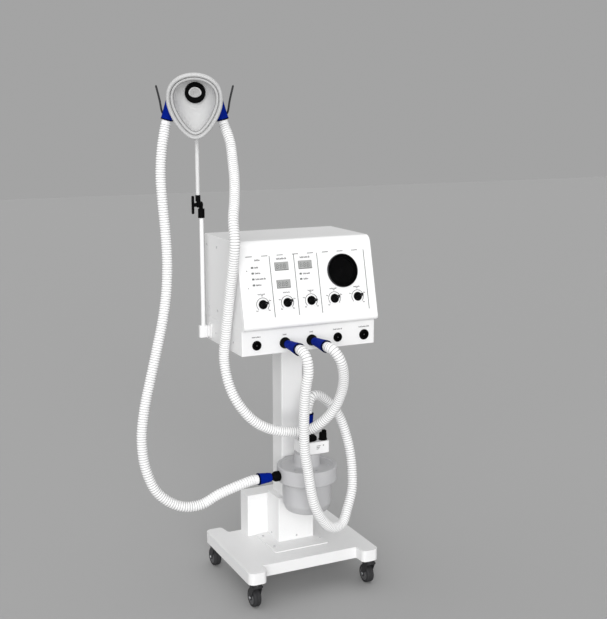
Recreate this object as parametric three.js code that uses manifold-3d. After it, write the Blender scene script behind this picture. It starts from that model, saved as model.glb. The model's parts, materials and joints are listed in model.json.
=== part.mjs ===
// Mechanical ventilator on a wheeled stand: base, column, housing, humidifier, support arm,
// face mask and three breathing hoses.
// Units are millimetres. X is right seen from the front, Y is to the back, Z is up, floor at 0.
// Inside this file X = 0 is the middle of the housing and Y = 0 is the manifold's front face.
// The whole group is then moved so that the origin is under the middle of the object.
import * as THREE from "three";
import { mergeVertices } from "three/addons/utils/BufferGeometryUtils.js";
import Module from "manifold-3d";

const wasm = await Module();
wasm.setup();

// ---------------------------------------------------------------- driving dimensions
const GAP = 0.3; // clearance between neighbouring pieces
const ORIGIN_X = -61.31; // middle of the object in this file's X
const ORIGIN_Y = 113.5; // middle of the object in this file's Y

// base
const BASE = { x0: -179, x1: 196, y0: -23, y1: 298, z0: 70.4, z1: 101.6 };
const PAD_WIDTH = 49;
const DECK_Y0 = 14;
const DECK_Y1 = 258;
const CASTER_X = [-155, 175];
const CASTER_Y = [-7, 273];
const WHEEL_R = 25;
const WHEEL_HALF = 10.5;
const CASTER_TRAIL = 14;

// column, foot and battery
const COLUMN = { x0: -15, x1: 47, y0: 139.5, y1: 201.5, z0: 229.3, z1: 663.7 };
const COLUMN_WALL = 3;
const FOOT = { x0: -31, x1: 74, y0: 127, y1: 202, z1: 229 };
const FLANGE = { x0: -66, x1: 92, y0: 69, y1: 202, t: 3 };
const BATTERY = { x0: -89, x1: 109, y0: 203.3, y1: 257, z1: 219.7, wall: 2.5 };

// housing
const HALF_W = 185;
const DEPTH = 245;
const CHASSIS_Z0 = 664;
const CHASSIS_Z1 = 727.5;
const WALL = 3;
const TOP_Z = 942;
const BEZEL_BOTTOM = { y: -20.1, z: 731.3 };
const BEZEL_LEAN = THREE.MathUtils.degToRad(13.9);
const BEZEL_T = 12;
const BEZEL_TOP_R = 24;
const BEZEL_FOOT_R = 9;
const HOUSING_CORNER_R = 3;

// panel layout: x across, s up the sloped face from its bottom edge
const KNOB_X = [-130.5, -64.5, 1, 66, 132];
const KNOB_S = 61.5;
const GAUGE = { x: 96, s: 130, r: 42.5 };
const WINDOWS = [
  { x: -70, s: 152, w: 38, h: 21 },
  { x: -69, s: 108, w: 38, h: 21 },
  { x: -5.5, s: 152, w: 38, h: 21 },
];
const PORT_X = [-146, -70, 4, 78, 154];
const PORT_Z = 689;
const CUFF_END_Y = -85;

// humidifier
const HUM = { x: 16, y: 50 };
const HEAD_R = 79;
const HEAD_Z0 = 305;
const HEAD_Z1 = 345;
const JAR_R = 64.5;
const JAR_Z0 = 218;
const CONTROL = { x0: -9, x1: 68, y0: 20, y1: 80, z0: 378, z1: 410 };
const SIDE_PORT_Z = 324;
const VALVE = { x: 55, y: 35 };

// arm
const ARM_Y = 210;
const LOWER_ROD_X = -206;
const LOWER_ROD_R = 5.5;
const UPPER_ROD_X = -214.5;
const UPPER_ROD_R = 5.3;
const PIVOT_Z = 1019.5;
const HUB_Z = 1275;

// patient end: yaw of the head about the upper rod, and the mask's forward tilt
const HEAD_YAW = THREE.MathUtils.degToRad(22);
const MASK_TILT = THREE.MathUtils.degToRad(15);
const WYE = { f: 29, z: 1311 };
const LEG_SHIFT = -3;
const LEG_END = { r: 57.5, z: 1276 };
const CUFF_LOW = { r: 69, z: 1232 };
const MASK_CENTRE = { f: 95, z: 1269 };
const MASK_PORT_UP = 18.5;

const HOSE_R = 13;

// ---------------------------------------------------------------- shape helpers
// A closed geometry welded and turned so that its faces point outwards.
function closed(geometry) {
  const bare = new THREE.BufferGeometry();
  bare.setAttribute("position", geometry.getAttribute("position"));
  if (geometry.index) bare.setIndex(geometry.index);
  const welded = mergeVertices(bare, 1e-3);
  const index = [];
  const old = welded.index.array;
  for (let i = 0; i < old.length; i += 3) {
    const [a, b, c] = [old[i], old[i + 1], old[i + 2]];
    if (a !== b && b !== c && c !== a) index.push(a, b, c);
  }
  welded.setIndex(index);
  if (signedVolume(welded) < 0) {
    for (let i = 0; i < index.length; i += 3) {
      [index[i + 1], index[i + 2]] = [index[i + 2], index[i + 1]];
    }
    welded.setIndex(index);
  }
  return welded;
}

function signedVolume(geometry) {
  const p = geometry.getAttribute("position");
  const index = geometry.index.array;
  const [a, b, c] = [new THREE.Vector3(), new THREE.Vector3(), new THREE.Vector3()];
  let sum = 0;
  for (let i = 0; i < index.length; i += 3) {
    a.fromBufferAttribute(p, index[i]);
    b.fromBufferAttribute(p, index[i + 1]);
    c.fromBufferAttribute(p, index[i + 2]);
    sum += a.dot(b.cross(c)) / 6;
  }
  return sum;
}

function toSolid(geometry) {
  const g = closed(geometry);
  return new wasm.Manifold(
    new wasm.Mesh({
      numProp: 3,
      vertProperties: new Float32Array(g.getAttribute("position").array),
      triVerts: new Uint32Array(g.index.array),
    }),
  );
}

function fromSolid(solid) {
  const mesh = solid.getMesh();
  const g = new THREE.BufferGeometry();
  g.setAttribute("position", new THREE.BufferAttribute(mesh.vertProperties, 3));
  g.setIndex(new THREE.BufferAttribute(mesh.triVerts, 1));
  return g;
}

function join(...geometries) {
  return fromSolid(geometries.map(toSolid).reduce((a, b) => a.add(b)));
}

function cut(base, ...tools) {
  return fromSolid(tools.map(toSolid).reduce((a, b) => a.subtract(b), toSolid(base)));
}

function box(x0, x1, y0, y1, z0, z1) {
  const g = new THREE.BoxGeometry(x1 - x0, y1 - y0, z1 - z0);
  g.translate((x0 + x1) / 2, (y0 + y1) / 2, (z0 + z1) / 2);
  return g;
}

// Solid of revolution about Z from [radius, height] pairs that start and end on the axis.
function latheZ(profile, segments = 20) {
  const g = new THREE.LatheGeometry(
    profile.map(([r, h]) => new THREE.Vector2(r, h)),
    segments,
  );
  g.rotateX(Math.PI / 2);
  return g;
}

// The same for a ring: the profile is closed by its first point.
function ringZ(profile, segments = 20) {
  return latheZ([...profile, profile[0]], segments);
}

function rodZ(r, z0, z1, segments = 16) {
  return latheZ([[0, z0], [r, z0], [r, z1], [0, z1]], segments);
}

// Point a shape made along +Z in another direction and put its origin at a point.
function place(geometry, origin, direction) {
  const turn = new THREE.Quaternion().setFromUnitVectors(
    new THREE.Vector3(0, 0, 1),
    direction.clone().normalize(),
  );
  geometry.applyQuaternion(turn);
  geometry.translate(origin.x, origin.y, origin.z);
  return geometry;
}

function rod(a, b, r, segments = 14) {
  const along = b.clone().sub(a);
  return place(rodZ(r, 0, along.length(), segments), a, along);
}

// A flat plate from an outline in XY, from z0 to z1.
function plate(outline, z0, z1, holes = []) {
  const shape = new THREE.Shape(outline.map(([x, y]) => new THREE.Vector2(x, y)));
  for (const hole of holes) {
    shape.holes.push(new THREE.Path(hole.map(([x, y]) => new THREE.Vector2(x, y))));
  }
  const g = new THREE.ExtrudeGeometry(shape, { depth: z1 - z0, bevelEnabled: false });
  g.translate(0, 0, z0);
  return g;
}

function roundedRect(x0, x1, y0, y1, r, steps = 3) {
  const points = [];
  const corners = [
    [x1 - r, y1 - r, 0],
    [x0 + r, y1 - r, 90],
    [x0 + r, y0 + r, 180],
    [x1 - r, y0 + r, 270],
  ];
  for (const [cx, cy, start] of corners) {
    for (let i = 0; i <= steps; i++) {
      const a = THREE.MathUtils.degToRad(start + (90 * i) / steps);
      points.push([cx + r * Math.cos(a), cy + r * Math.sin(a)]);
    }
  }
  return points;
}

function circle(cx, cy, r, steps = 16) {
  return Array.from({ length: steps }, (_, i) => {
    const a = (2 * Math.PI * i) / steps;
    return [cx + r * Math.cos(a), cy + r * Math.sin(a)];
  });
}

// A solid tube along a smooth line through points.
function tube(points, r, steps, sides = 6) {
  const path = new THREE.CatmullRomCurve3(points, false, "centripetal");
  const section = new THREE.Shape(circle(0, 0, r, sides).map(([x, y]) => new THREE.Vector2(x, y)));
  return new THREE.ExtrudeGeometry(section, { steps, extrudePath: path, bevelEnabled: false });
}

const V = (x, y, z) => new THREE.Vector3(x, y, z);

// ---------------------------------------------------------------- local frames
// Sloped panel: x across, s up the face, n out of the face.
const PANEL = new THREE.Matrix4().makeBasis(
  V(1, 0, 0),
  V(0, Math.sin(BEZEL_LEAN), Math.cos(BEZEL_LEAN)),
  V(0, -Math.cos(BEZEL_LEAN), Math.sin(BEZEL_LEAN)),
).setPosition(0, BEZEL_BOTTOM.y, BEZEL_BOTTOM.z);

function onPanel(geometry) {
  return geometry.applyMatrix4(PANEL);
}

// Head: r to the right of the mask, f forward, z up, about the upper rod.
const RIGHT = V(Math.cos(HEAD_YAW), -Math.sin(HEAD_YAW), 0);
const FORWARD = V(-Math.sin(HEAD_YAW), -Math.cos(HEAD_YAW), 0);

function headPoint(r, f, z) {
  return V(UPPER_ROD_X, ARM_Y, z).addScaledVector(RIGHT, r).addScaledVector(FORWARD, f);
}

// Mask: u right, v up along the mask, n out of its open side.
const MASK_N = FORWARD.clone().multiplyScalar(Math.cos(MASK_TILT)).add(V(0, 0, -Math.sin(MASK_TILT)));
const MASK_V = FORWARD.clone().multiplyScalar(Math.sin(MASK_TILT)).add(V(0, 0, Math.cos(MASK_TILT)));
const MASK_O = headPoint(0, MASK_CENTRE.f, MASK_CENTRE.z);

function maskPoint(u, v, n) {
  return MASK_O.clone()
    .addScaledVector(RIGHT, u)
    .addScaledVector(MASK_V, v)
    .addScaledVector(MASK_N, n);
}

const PORT_AXIS_O = maskPoint(0, MASK_PORT_UP, 0);

// ---------------------------------------------------------------- materials and the group
const LOOKS = {
  white: { color: [0.9, 0.9, 0.9], roughness: 0.35 },
  grey: { color: [0.66, 0.66, 0.67], roughness: 0.4 },
  pale: { color: [0.78, 0.78, 0.78], roughness: 0.4 },
  black: { color: [0.02, 0.02, 0.022], roughness: 0.45 },
  dark: { color: [0.1, 0.1, 0.11], roughness: 0.6, metalness: 0.4 },
  tyre: { color: [0.05, 0.05, 0.055], roughness: 0.85 },
  blue: { color: [0.0, 0.03, 0.42], roughness: 0.4 },
  board: { color: [0.4, 0.42, 0.4], roughness: 0.5 },
  clear: { color: [0.85, 0.9, 0.92], roughness: 0.1, opacity: 0.35 },
};

const root = new THREE.Group();
root.name = "ventilator";

function add(name, geometry, look) {
  const { color, roughness, metalness = 0, opacity = 1 } = LOOKS[look];
  const transparent = opacity < 1;
  const material = new THREE.MeshStandardMaterial({ roughness, metalness, opacity, transparent });
  material.color.setRGB(...color);
  const shape = geometry.index ? geometry.toNonIndexed() : geometry.clone();
  shape.deleteAttribute("normal");
  shape.computeVertexNormals();
  const mesh = new THREE.Mesh(shape, material);
  mesh.name = name;
  root.add(mesh);
}

// ---------------------------------------------------------------- base and casters
function baseOutline() {
  const { x0, x1, y0, y1 } = BASE;
  const half = [];
  const arc = (cx, cy, r, from, to, steps) => {
    for (let i = 0; i <= steps; i++) {
      const a = THREE.MathUtils.degToRad(from + ((to - from) * i) / steps);
      half.push([cx + r * Math.cos(a), cy + r * Math.sin(a)]);
    }
  };
  // front right pad, then the front recess, then the front left pad
  arc(x1 - 16, y0 + 16, 16, 0, -90, 4);
  arc(x1 - PAD_WIDTH + 12, y0 + 12, 12, -90, -180, 3);
  half.push([x1 - PAD_WIDTH - 0.5, DECK_Y0 - 3]);
  half.push([x1 - PAD_WIDTH - 3, DECK_Y0]);
  half.push([x0 + PAD_WIDTH + 3, DECK_Y0]);
  half.push([x0 + PAD_WIDTH + 0.5, DECK_Y0 - 3]);
  arc(x0 + PAD_WIDTH - 12, y0 + 12, 12, 0, -90, 3);
  arc(x0 + 16, y0 + 16, 16, -90, -180, 4);
  // rear left pad, the rear recess, the rear right pad
  arc(x0 + 16, y1 - 16, 16, 180, 90, 4);
  arc(x0 + PAD_WIDTH - 10, y1 - 10, 10, 90, 0, 3);
  half.push([x0 + PAD_WIDTH + 4, DECK_Y1 + 4]);
  half.push([x0 + PAD_WIDTH + 8, DECK_Y1]);
  half.push([x1 - PAD_WIDTH - 8, DECK_Y1]);
  half.push([x1 - PAD_WIDTH - 4, DECK_Y1 + 4]);
  arc(x1 - PAD_WIDTH + 10, y1 - 10, 10, 180, 90, 3);
  arc(x1 - 16, y1 - 16, 16, 90, 0, 4);
  return half;
}

const stemHoles = [];
for (const x of CASTER_X) {
  for (const y of CASTER_Y) {
    const hole = rodZ(5 + GAP, BASE.z0 - 5, 93, 12);
    hole.translate(x, y, 0);
    stemHoles.push(hole);
  }
}
add("base_plate", cut(plate(baseOutline(), BASE.z0, BASE.z1), ...stemHoles), "white");

function casterFork(x, y) {
  const leg = (lx) => {
    const outline = [
      [-11, 62],
      [13, 62],
      [CASTER_TRAIL + 7, WHEEL_R + 3],
      [CASTER_TRAIL + 5, WHEEL_R - 6],
      [CASTER_TRAIL - 5, WHEEL_R - 6],
      [CASTER_TRAIL - 8, WHEEL_R + 2],
    ];
    const g = plate(outline, -1.25, 1.25);
    g.applyMatrix4(new THREE.Matrix4().makeBasis(V(0, 1, 0), V(0, 0, 1), V(1, 0, 0)));
    g.translate(lx, 0, 0);
    return g;
  };
  const legX = WHEEL_HALF + GAP + 1.25;
  const fork = join(
    leg(legX),
    leg(-legX),
    box(-legX - 1.25, legX + 1.25, -11, 13, 57, 62),
    rodZ(14, 60, 70, 14),
    rodZ(5, 69, 92.5, 10),
    rod(V(-legX, CASTER_TRAIL, WHEEL_R), V(legX, CASTER_TRAIL, WHEEL_R), 3, 8),
  );
  fork.translate(x, y, 0);
  return fork;
}

function casterWheel(x, y) {
  const w = WHEEL_HALF;
  const profile = [
    [3 + GAP, -w],
    [WHEEL_R - 3, -w],
    [WHEEL_R, -w + 3],
    [WHEEL_R, w - 3],
    [WHEEL_R - 3, w],
    [3 + GAP, w],
  ];
  const g = ringZ(profile, 20);
  return place(g, V(x, y + CASTER_TRAIL, WHEEL_R), V(1, 0, 0));
}

const corners = [
  ["fl", CASTER_X[0], CASTER_Y[0]],
  ["fr", CASTER_X[1], CASTER_Y[0]],
  ["rl", CASTER_X[0], CASTER_Y[1]],
  ["rr", CASTER_X[1], CASTER_Y[1]],
];
for (const [tag, x, y] of corners) {
  add(`caster_fork_${tag}`, casterFork(x, y), "dark");
  add(`caster_wheel_${tag}`, casterWheel(x, y), "tyre");
}

// ---------------------------------------------------------------- foot, column, battery
const footZ = BASE.z1 + GAP;
add(
  "column_foot",
  join(
    plate(roundedRect(FLANGE.x0, FLANGE.x1, FLANGE.y0, FLANGE.y1, 6, 3), footZ, footZ + FLANGE.t),
    plate(roundedRect(FOOT.x0, FOOT.x1, FOOT.y0, FOOT.y1, 3, 2), footZ + 1, FOOT.z1),
  ),
  "white",
);

const columnHole = roundedRect(
  COLUMN.x0 + COLUMN_WALL,
  COLUMN.x1 - COLUMN_WALL,
  COLUMN.y0 + COLUMN_WALL,
  COLUMN.y1 - COLUMN_WALL,
  2,
  2,
);
add(
  "column",
  plate(roundedRect(COLUMN.x0, COLUMN.x1, COLUMN.y0, COLUMN.y1, 4, 3), COLUMN.z0, COLUMN.z1, [columnHole]),
  "white",
);

const bw = BATTERY.wall;
add(
  "battery_box",
  cut(
    plate(roundedRect(BATTERY.x0, BATTERY.x1, BATTERY.y0, BATTERY.y1, 3, 2), footZ, BATTERY.z1),
    box(BATTERY.x0 + bw, BATTERY.x1 - bw, BATTERY.y0 + bw, BATTERY.y1 - bw, footZ - 5, BATTERY.z1 - bw),
  ),
  "white",
);
add(
  "battery_pack",
  box(BATTERY.x0 + 14, BATTERY.x1 - 14, BATTERY.y0 + 6, BATTERY.y1 - 6, footZ, 200),
  "dark",
);

// ---------------------------------------------------------------- housing shells
const portHoles = PORT_X.map((x) => rod(V(x, -10, PORT_Z), V(x, 20, PORT_Z), 9 + GAP + 0.3, 14));
add(
  "lower_chassis",
  cut(
    plate(roundedRect(-HALF_W, HALF_W, 0, DEPTH, 2.5, 2), CHASSIS_Z0, CHASSIS_Z1),
    box(-HALF_W + WALL, HALF_W - WALL, WALL, DEPTH - WALL, CHASSIS_Z0 + WALL, CHASSIS_Z1 + 5),
    ...portHoles,
  ),
  "white",
);

// A side outline extruded across: its first axis becomes Y and its second Z.
function yzPlate(outline, x0, x1, holes = []) {
  return plate(outline, x0, x1, holes).applyMatrix4(
    new THREE.Matrix4().makeBasis(V(0, 1, 0), V(0, 0, 1), V(1, 0, 0)),
  );
}
function arcPoints(cx, cy, r, from, to, steps) {
  return Array.from({ length: steps + 1 }, (_, i) => {
    const a = THREE.MathUtils.degToRad(from + ((to - from) * i) / steps);
    return [cx + r * Math.cos(a), cy + r * Math.sin(a)];
  });
}

// The housing's long edges are slightly rounded by this section, which runs front to back.
function housingSection() {
  const outline = roundedRect(-HALF_W, HALF_W, BEZEL_BOTTOM.z - 90, TOP_Z, HOUSING_CORNER_R, 2);
  return plate(outline, -DEPTH - 60, 80).rotateX(Math.PI / 2);
}
const common = (a, b) => fromSolid(toSolid(a).intersect(toSolid(b)));

// The sloped face runs over the top in one arc, shared by the bezel and the casing's front edge.
const LEAN_DEG = THREE.MathUtils.radToDeg(BEZEL_LEAN);
const faceLength = (TOP_Z - BEZEL_BOTTOM.z) / Math.cos(BEZEL_LEAN);
const arcStartS = faceLength - BEZEL_TOP_R * Math.tan(Math.PI / 4 - BEZEL_LEAN / 2);
const backN = BEZEL_T + GAP;
function angleAtDepth(n) {
  return THREE.MathUtils.radToDeg(Math.asin((BEZEL_TOP_R - n) / BEZEL_TOP_R));
}
function bezelSlab() {
  const outline = [
    [0, -BEZEL_T],
    ...arcPoints(BEZEL_FOOT_R, -BEZEL_FOOT_R, BEZEL_FOOT_R, 180, 90, 4),
    ...arcPoints(arcStartS, -BEZEL_TOP_R, BEZEL_TOP_R, 90, angleAtDepth(BEZEL_T), 6),
  ];
  return yzPlate(outline, -HALF_W, HALF_W);
}

const bezelTools = [];
for (const x of KNOB_X) {
  const hole = rodZ(3 + GAP + 0.2, -BEZEL_T - 5, 5, 8);
  hole.translate(x, KNOB_S, 0);
  bezelTools.push(hole);
}
for (const w of WINDOWS) {
  bezelTools.push(box(w.x - w.w / 2, w.x + w.w / 2, w.s - w.h / 2, w.s + w.h / 2, -BEZEL_T - 5, 5));
}
const gaugeHole = rodZ(38 + GAP + 0.4, -BEZEL_T - 5, 5, 24);
gaugeHole.translate(GAUGE.x, GAUGE.s, 0);
bezelTools.push(gaugeHole);
add("front_bezel", common(onPanel(cut(bezelSlab(), ...bezelTools)), housingSection()), "white");

// Side outline of the casing in (y, z); its front edge follows the back of the bezel.
function edgeY(z, n) {
  const rise = z - BEZEL_BOTTOM.z;
  return BEZEL_BOTTOM.y + n / Math.cos(BEZEL_LEAN) + rise * Math.tan(BEZEL_LEAN);
}
const casingZ0 = CHASSIS_Z1 + GAP;
const topArc = arcPoints(arcStartS, -BEZEL_TOP_R, BEZEL_TOP_R, LEAN_DEG, angleAtDepth(backN), 2).map(
  ([sUp, n]) => {
    const p = V(0, sUp, n).applyMatrix4(PANEL);
    return [p.y, p.z];
  },
);
const casingOutline = [[edgeY(casingZ0, backN), casingZ0], [DEPTH, casingZ0], [DEPTH, TOP_Z], ...topArc];
const innerZ = TOP_Z - WALL;
const innerOutline = [
  [edgeY(casingZ0 - 20, -60), casingZ0 - 20], [DEPTH + 40, casingZ0 - 20],
  [DEPTH + 40, innerZ], [edgeY(innerZ, -60), innerZ],
];
const casingOuter = common(yzPlate(casingOutline, -HALF_W, HALF_W), housingSection());
add("casing", cut(casingOuter, yzPlate(innerOutline, -HALF_W + WALL, HALF_W - WALL)), "white");

// Rear cover with vent slots, closing the back of the casing.
const coverZ0 = CHASSIS_Z1 + GAP;
const coverZ1 = TOP_Z - WALL - GAP;
const coverX = HALF_W - WALL - GAP;
const INLET = { x: 120, z: 757 };
const SWITCH = { x: 78, z: 757 };
const coverHoles = [
  roundedRect(INLET.x - 14.4, INLET.x + 14.4, -INLET.z - 10.9, -INLET.z + 10.9, 0.3, 1),
  roundedRect(SWITCH.x - 9.5, SWITCH.x + 9.5, -SWITCH.z - 12.3, -SWITCH.z + 12.3, 1, 1),
];
for (let i = 0; i < 6; i++) {
  const z = 830 + 14 * i;
  coverHoles.push(roundedRect(-120, 20, -z - 3, -z + 3, 2.4, 1));
}
const rearCover = plate(roundedRect(-coverX, coverX, -coverZ1, -coverZ0, 2, 1), 241.5, 244, coverHoles);
rearCover.applyMatrix4(new THREE.Matrix4().makeBasis(V(1, 0, 0), V(0, 0, -1), V(0, 1, 0)));
add("rear_cover", rearCover, "white");

add(
  "power_inlet",
  join(
    cut(
      join(
        box(INLET.x - 14, INLET.x + 14, 222, 245, INLET.z - 10.5, INLET.z + 10.5),
        box(INLET.x - 20, INLET.x + 20, 244.3, 246.5, INLET.z - 14, INLET.z + 14),
      ),
      box(INLET.x - 11.5, INLET.x + 11.5, 226, 250, INLET.z - 8, INLET.z + 8),
    ),
    box(INLET.x - 8, INLET.x - 6, 225, 243, INLET.z - 5, INLET.z - 1),
    box(INLET.x + 6, INLET.x + 8, 225, 243, INLET.z - 5, INLET.z - 1),
    box(INLET.x - 1, INLET.x + 1, 225, 243, INLET.z + 1, INLET.z + 5),
  ),
  "black",
);

const rocker = plate([[-5, -8], [7, -11], [5, 0], [7, 11], [-5, 8]], SWITCH.x - 9, SWITCH.x + 9);
rocker.applyMatrix4(new THREE.Matrix4().makeBasis(V(0, 1, 0), V(0, 0, 1), V(1, 0, 0)));
rocker.translate(0, 240, SWITCH.z);
add("power_switch", rocker, "black");

// ---------------------------------------------------------------- panel pieces
const board = [box(-165, 40, 92, 170, -BEZEL_T - 4.5, -BEZEL_T - 2.5)];
for (const w of WINDOWS) {
  const [halfW, halfH] = [w.w / 2 - GAP, w.h / 2 - GAP];
  board.push(box(w.x - halfW, w.x + halfW, w.s - halfH, w.s + halfH, -BEZEL_T - 3, -1));
}
add("display_board", onPanel(join(...board)), "board");

const gaugeProfile = [
  [0, -20], [38, -20], [38, GAP], [GAUGE.r, GAP], [GAUGE.r, 4], [41, 5.5], [37, 5.5], [37, 0.7],
  [34, 0.7], [34, -8], [1.5, -8], [1.5, -3.5], [0, -3.5],
];
const gaugeBody = latheZ(gaugeProfile, 24);
gaugeBody.translate(GAUGE.x, GAUGE.s, 0);
add("gauge_body", onPanel(closed(gaugeBody)), "black");

const gaugeLens = rodZ(36.6, 1, 3, 24);
gaugeLens.translate(GAUGE.x, GAUGE.s, 0);
add("gauge_lens", onPanel(closed(gaugeLens)), "clear");

const needleOutline = [[-2.4, -9], [2.4, -9], [4, 0], [0.7, 30], [-0.7, 30], [-4, 0]];
const gaugeNeedle = plate(needleOutline, -6.5, -5.3, [circle(0, 0, 1.5 + GAP + 0.1, 8)]);
gaugeNeedle.rotateZ(THREE.MathUtils.degToRad(135));
gaugeNeedle.translate(GAUGE.x, GAUGE.s, 0);
add("gauge_needle", onPanel(closed(gaugeNeedle)), "white");

KNOB_X.forEach((x, i) => {
  const knob = join(
    latheZ([[0, 0.5], [11, 0.5], [11, 4], [9, 5.5], [0, 5.5]], 16),
    plate(roundedRect(-3.5, 3.5, -10.5, 10.5, 2.5, 1), 4, 16),
    rodZ(3, -BEZEL_T, 3, 8),
  );
  knob.translate(x, KNOB_S, 0);
  add(`knob_${i + 1}`, onPanel(knob), "black");
});

// ---------------------------------------------------------------- manifold ports
// Ports 2 and 3 carry a longer collar, which takes the narrow end of a cuff.
PORT_X.forEach((x, i) => {
  const long = i === 1 || i === 2;
  const flange = i === 4 ? 13.5 : 12;
  const tubeR = i === 4 ? 12 : 11;
  const profile = long
    ? [[8.5, -12], [9, -12], [9, GAP], [14, GAP], [14, 5], [12.6, 7.5], [10.6, 17], [8.5, 17]]
    : [[8.5, -12], [9, -12], [9, GAP], [flange, GAP], [flange, 3], [tubeR, 3.5], [tubeR, 5], [8.5, 5]];
  add(`port_${i + 1}`, place(closed(ringZ(profile, 18)), V(x, 0, PORT_Z), V(0, -1, 0)), "black");
});

// A blue cuff along +Z. Its male spigot, if any, reaches back into a port; otherwise it slides over
// one of the given radius. Either way it widens towards the hose and ends in the hose's face.
function cuff(origin, direction, length, narrow, { spigot = 0, over = 0, overlap = 0 }) {
  const outer = [[narrow, 0], [narrow + 0.5, length * 0.16], [15, length * 0.86], [15.6, length]];
  const profile = spigot
    ? [[6.5, -spigot], [8.1, -spigot], [8.1, 0], ...outer, [9.5, length], [6.5, length * 0.5]]
    : [[over + GAP, 0], ...outer, [9.5, length], [7, overlap + GAP], [over + GAP, overlap + GAP]];
  return place(closed(ringZ(profile, 16)), origin, direction);
}
const portCuffLength = -CUFF_END_Y - 17.4;
for (const i of [1, 2]) {
  const start = V(PORT_X[i], -17.4, PORT_Z);
  add(`cuff_port_${i + 1}`, cuff(start, V(0, -1, 0), portCuffLength, 9.8, { spigot: 10 }), "blue");
}

// ---------------------------------------------------------------- blower
add(
  "blower",
  join(
    latheZ([[0, 667.3], [52, 667.3], [52, 712], [46, 718], [0, 718]], 20).translate(20, 150, 0),
    box(-32, 20, 20, 150, 672, 706),
    latheZ([[0, 715], [26, 715], [26, 748], [0, 748]], 16).translate(20, 150, 0),
  ),
  "dark",
);

// ---------------------------------------------------------------- humidifier
function atHumidifier(geometry) {
  return geometry.translate(HUM.x, HUM.y, 0);
}
const neckTop = CONTROL.z0 - GAP;
const headProfile = [
  [0, HEAD_Z0 + 8], [JAR_R - 6, HEAD_Z0 + 8], [JAR_R - 6, HEAD_Z0], [HEAD_R - 2, HEAD_Z0],
  [HEAD_R, HEAD_Z0 + 3], [HEAD_R, HEAD_Z1 - 4], [HEAD_R - 3, HEAD_Z1], [34.5, HEAD_Z1],
  [34.5, neckTop], [0, neckTop],
];
const sideSocket = rod(V(-HEAD_R - 6, 0, SIDE_PORT_Z), V(-HEAD_R + 14, 0, SIDE_PORT_Z), 11 + GAP + 0.3, 16);
const headBody = cut(
  join(
    latheZ(headProfile, 28),
    box(-24, 24, 60, COLUMN.y0 - HUM.y - GAP, HEAD_Z0 + 4, HEAD_Z1 - 4),
  ),
  sideSocket,
);
add("humidifier_head", atHumidifier(headBody), "grey");

const jarTop = HEAD_Z0 - GAP;
const jarProfile = [
  [0, JAR_Z0], [JAR_R - 24, JAR_Z0], [JAR_R - 7, JAR_Z0 + 8], [JAR_R, JAR_Z0 + 26],
  [JAR_R, jarTop], [JAR_R - 3, jarTop], [JAR_R - 3, JAR_Z0 + 27], [JAR_R - 10, JAR_Z0 + 11],
  [JAR_R - 25, JAR_Z0 + 3], [0, JAR_Z0 + 3],
];
add("humidifier_jar", atHumidifier(closed(latheZ(jarProfile, 28))), "grey");

const topPort = { x: HUM.x + 2, y: HUM.y };
add(
  "humidifier_control",
  cut(
    plate(roundedRect(CONTROL.x0, CONTROL.x1, CONTROL.y0, CONTROL.y1, 6, 3), CONTROL.z0, CONTROL.z1),
    rodZ(11 + GAP + 0.3, CONTROL.z1 - 14, CONTROL.z1 + 5, 16).translate(topPort.x, topPort.y, 0),
    rodZ(3 + GAP + 0.2, CONTROL.z1 - 10, CONTROL.z1 + 5, 10).translate(VALVE.x, VALVE.y, 0),
  ),
  "white",
);

const cuffTopZ = 441;
add(
  "humidifier_top_port",
  closed(
    ringZ(
      [
        [8.5, CONTROL.z1 - 13], [11, CONTROL.z1 - 13], [11, CONTROL.z1 + GAP],
        [23.5, CONTROL.z1 + GAP], [23.5, CONTROL.z1 + 9], [20, CONTROL.z1 + 12],
        [11, CONTROL.z1 + 14], [11, cuffTopZ + 14], [8.5, cuffTopZ + 14],
      ],
      20,
    ),
  ).translate(topPort.x, topPort.y, 0),
  "black",
);
add(
  "cuff_humidifier_top",
  cuff(V(topPort.x, topPort.y, cuffTopZ), V(0, 0, 1), 42, 13, { over: 11, overlap: 14 }),
  "blue",
);

const valveProfile = [[0, 0.4], [11.5, 0.4], [11.5, 3], [10, 4], [9.5, 20], [0, 20]];
add(
  "humidifier_valve_knob",
  join(latheZ(valveProfile, 16), box(-1, 8, -6, 6, 19, 26), rodZ(3, -9, 2, 8)).translate(
    VALVE.x,
    VALVE.y,
    CONTROL.z1,
  ),
  "black",
);

const sidePortFace = HUM.x - HEAD_R;
const sideCuffX = sidePortFace - 25;
const SIDE_CUFF_LENGTH = 36.5;
const sidePortProfile = [
  [6, -13.5], [11, -13.5], [11, 1], [13.2, 1], [13.2, 14.5], [8.2, 21.5], [8.2, 38], [6, 38],
];
add(
  "humidifier_side_port",
  place(closed(ringZ(sidePortProfile, 18)), V(sidePortFace, HUM.y, SIDE_PORT_Z), V(-1, 0, 0)),
  "black",
);
add(
  "cuff_humidifier_side",
  cuff(V(sideCuffX, HUM.y, SIDE_PORT_Z), V(-1, 0, 0), SIDE_CUFF_LENGTH, 11.6, { over: 8.2, overlap: 13.5 }),
  "blue",
);

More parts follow.
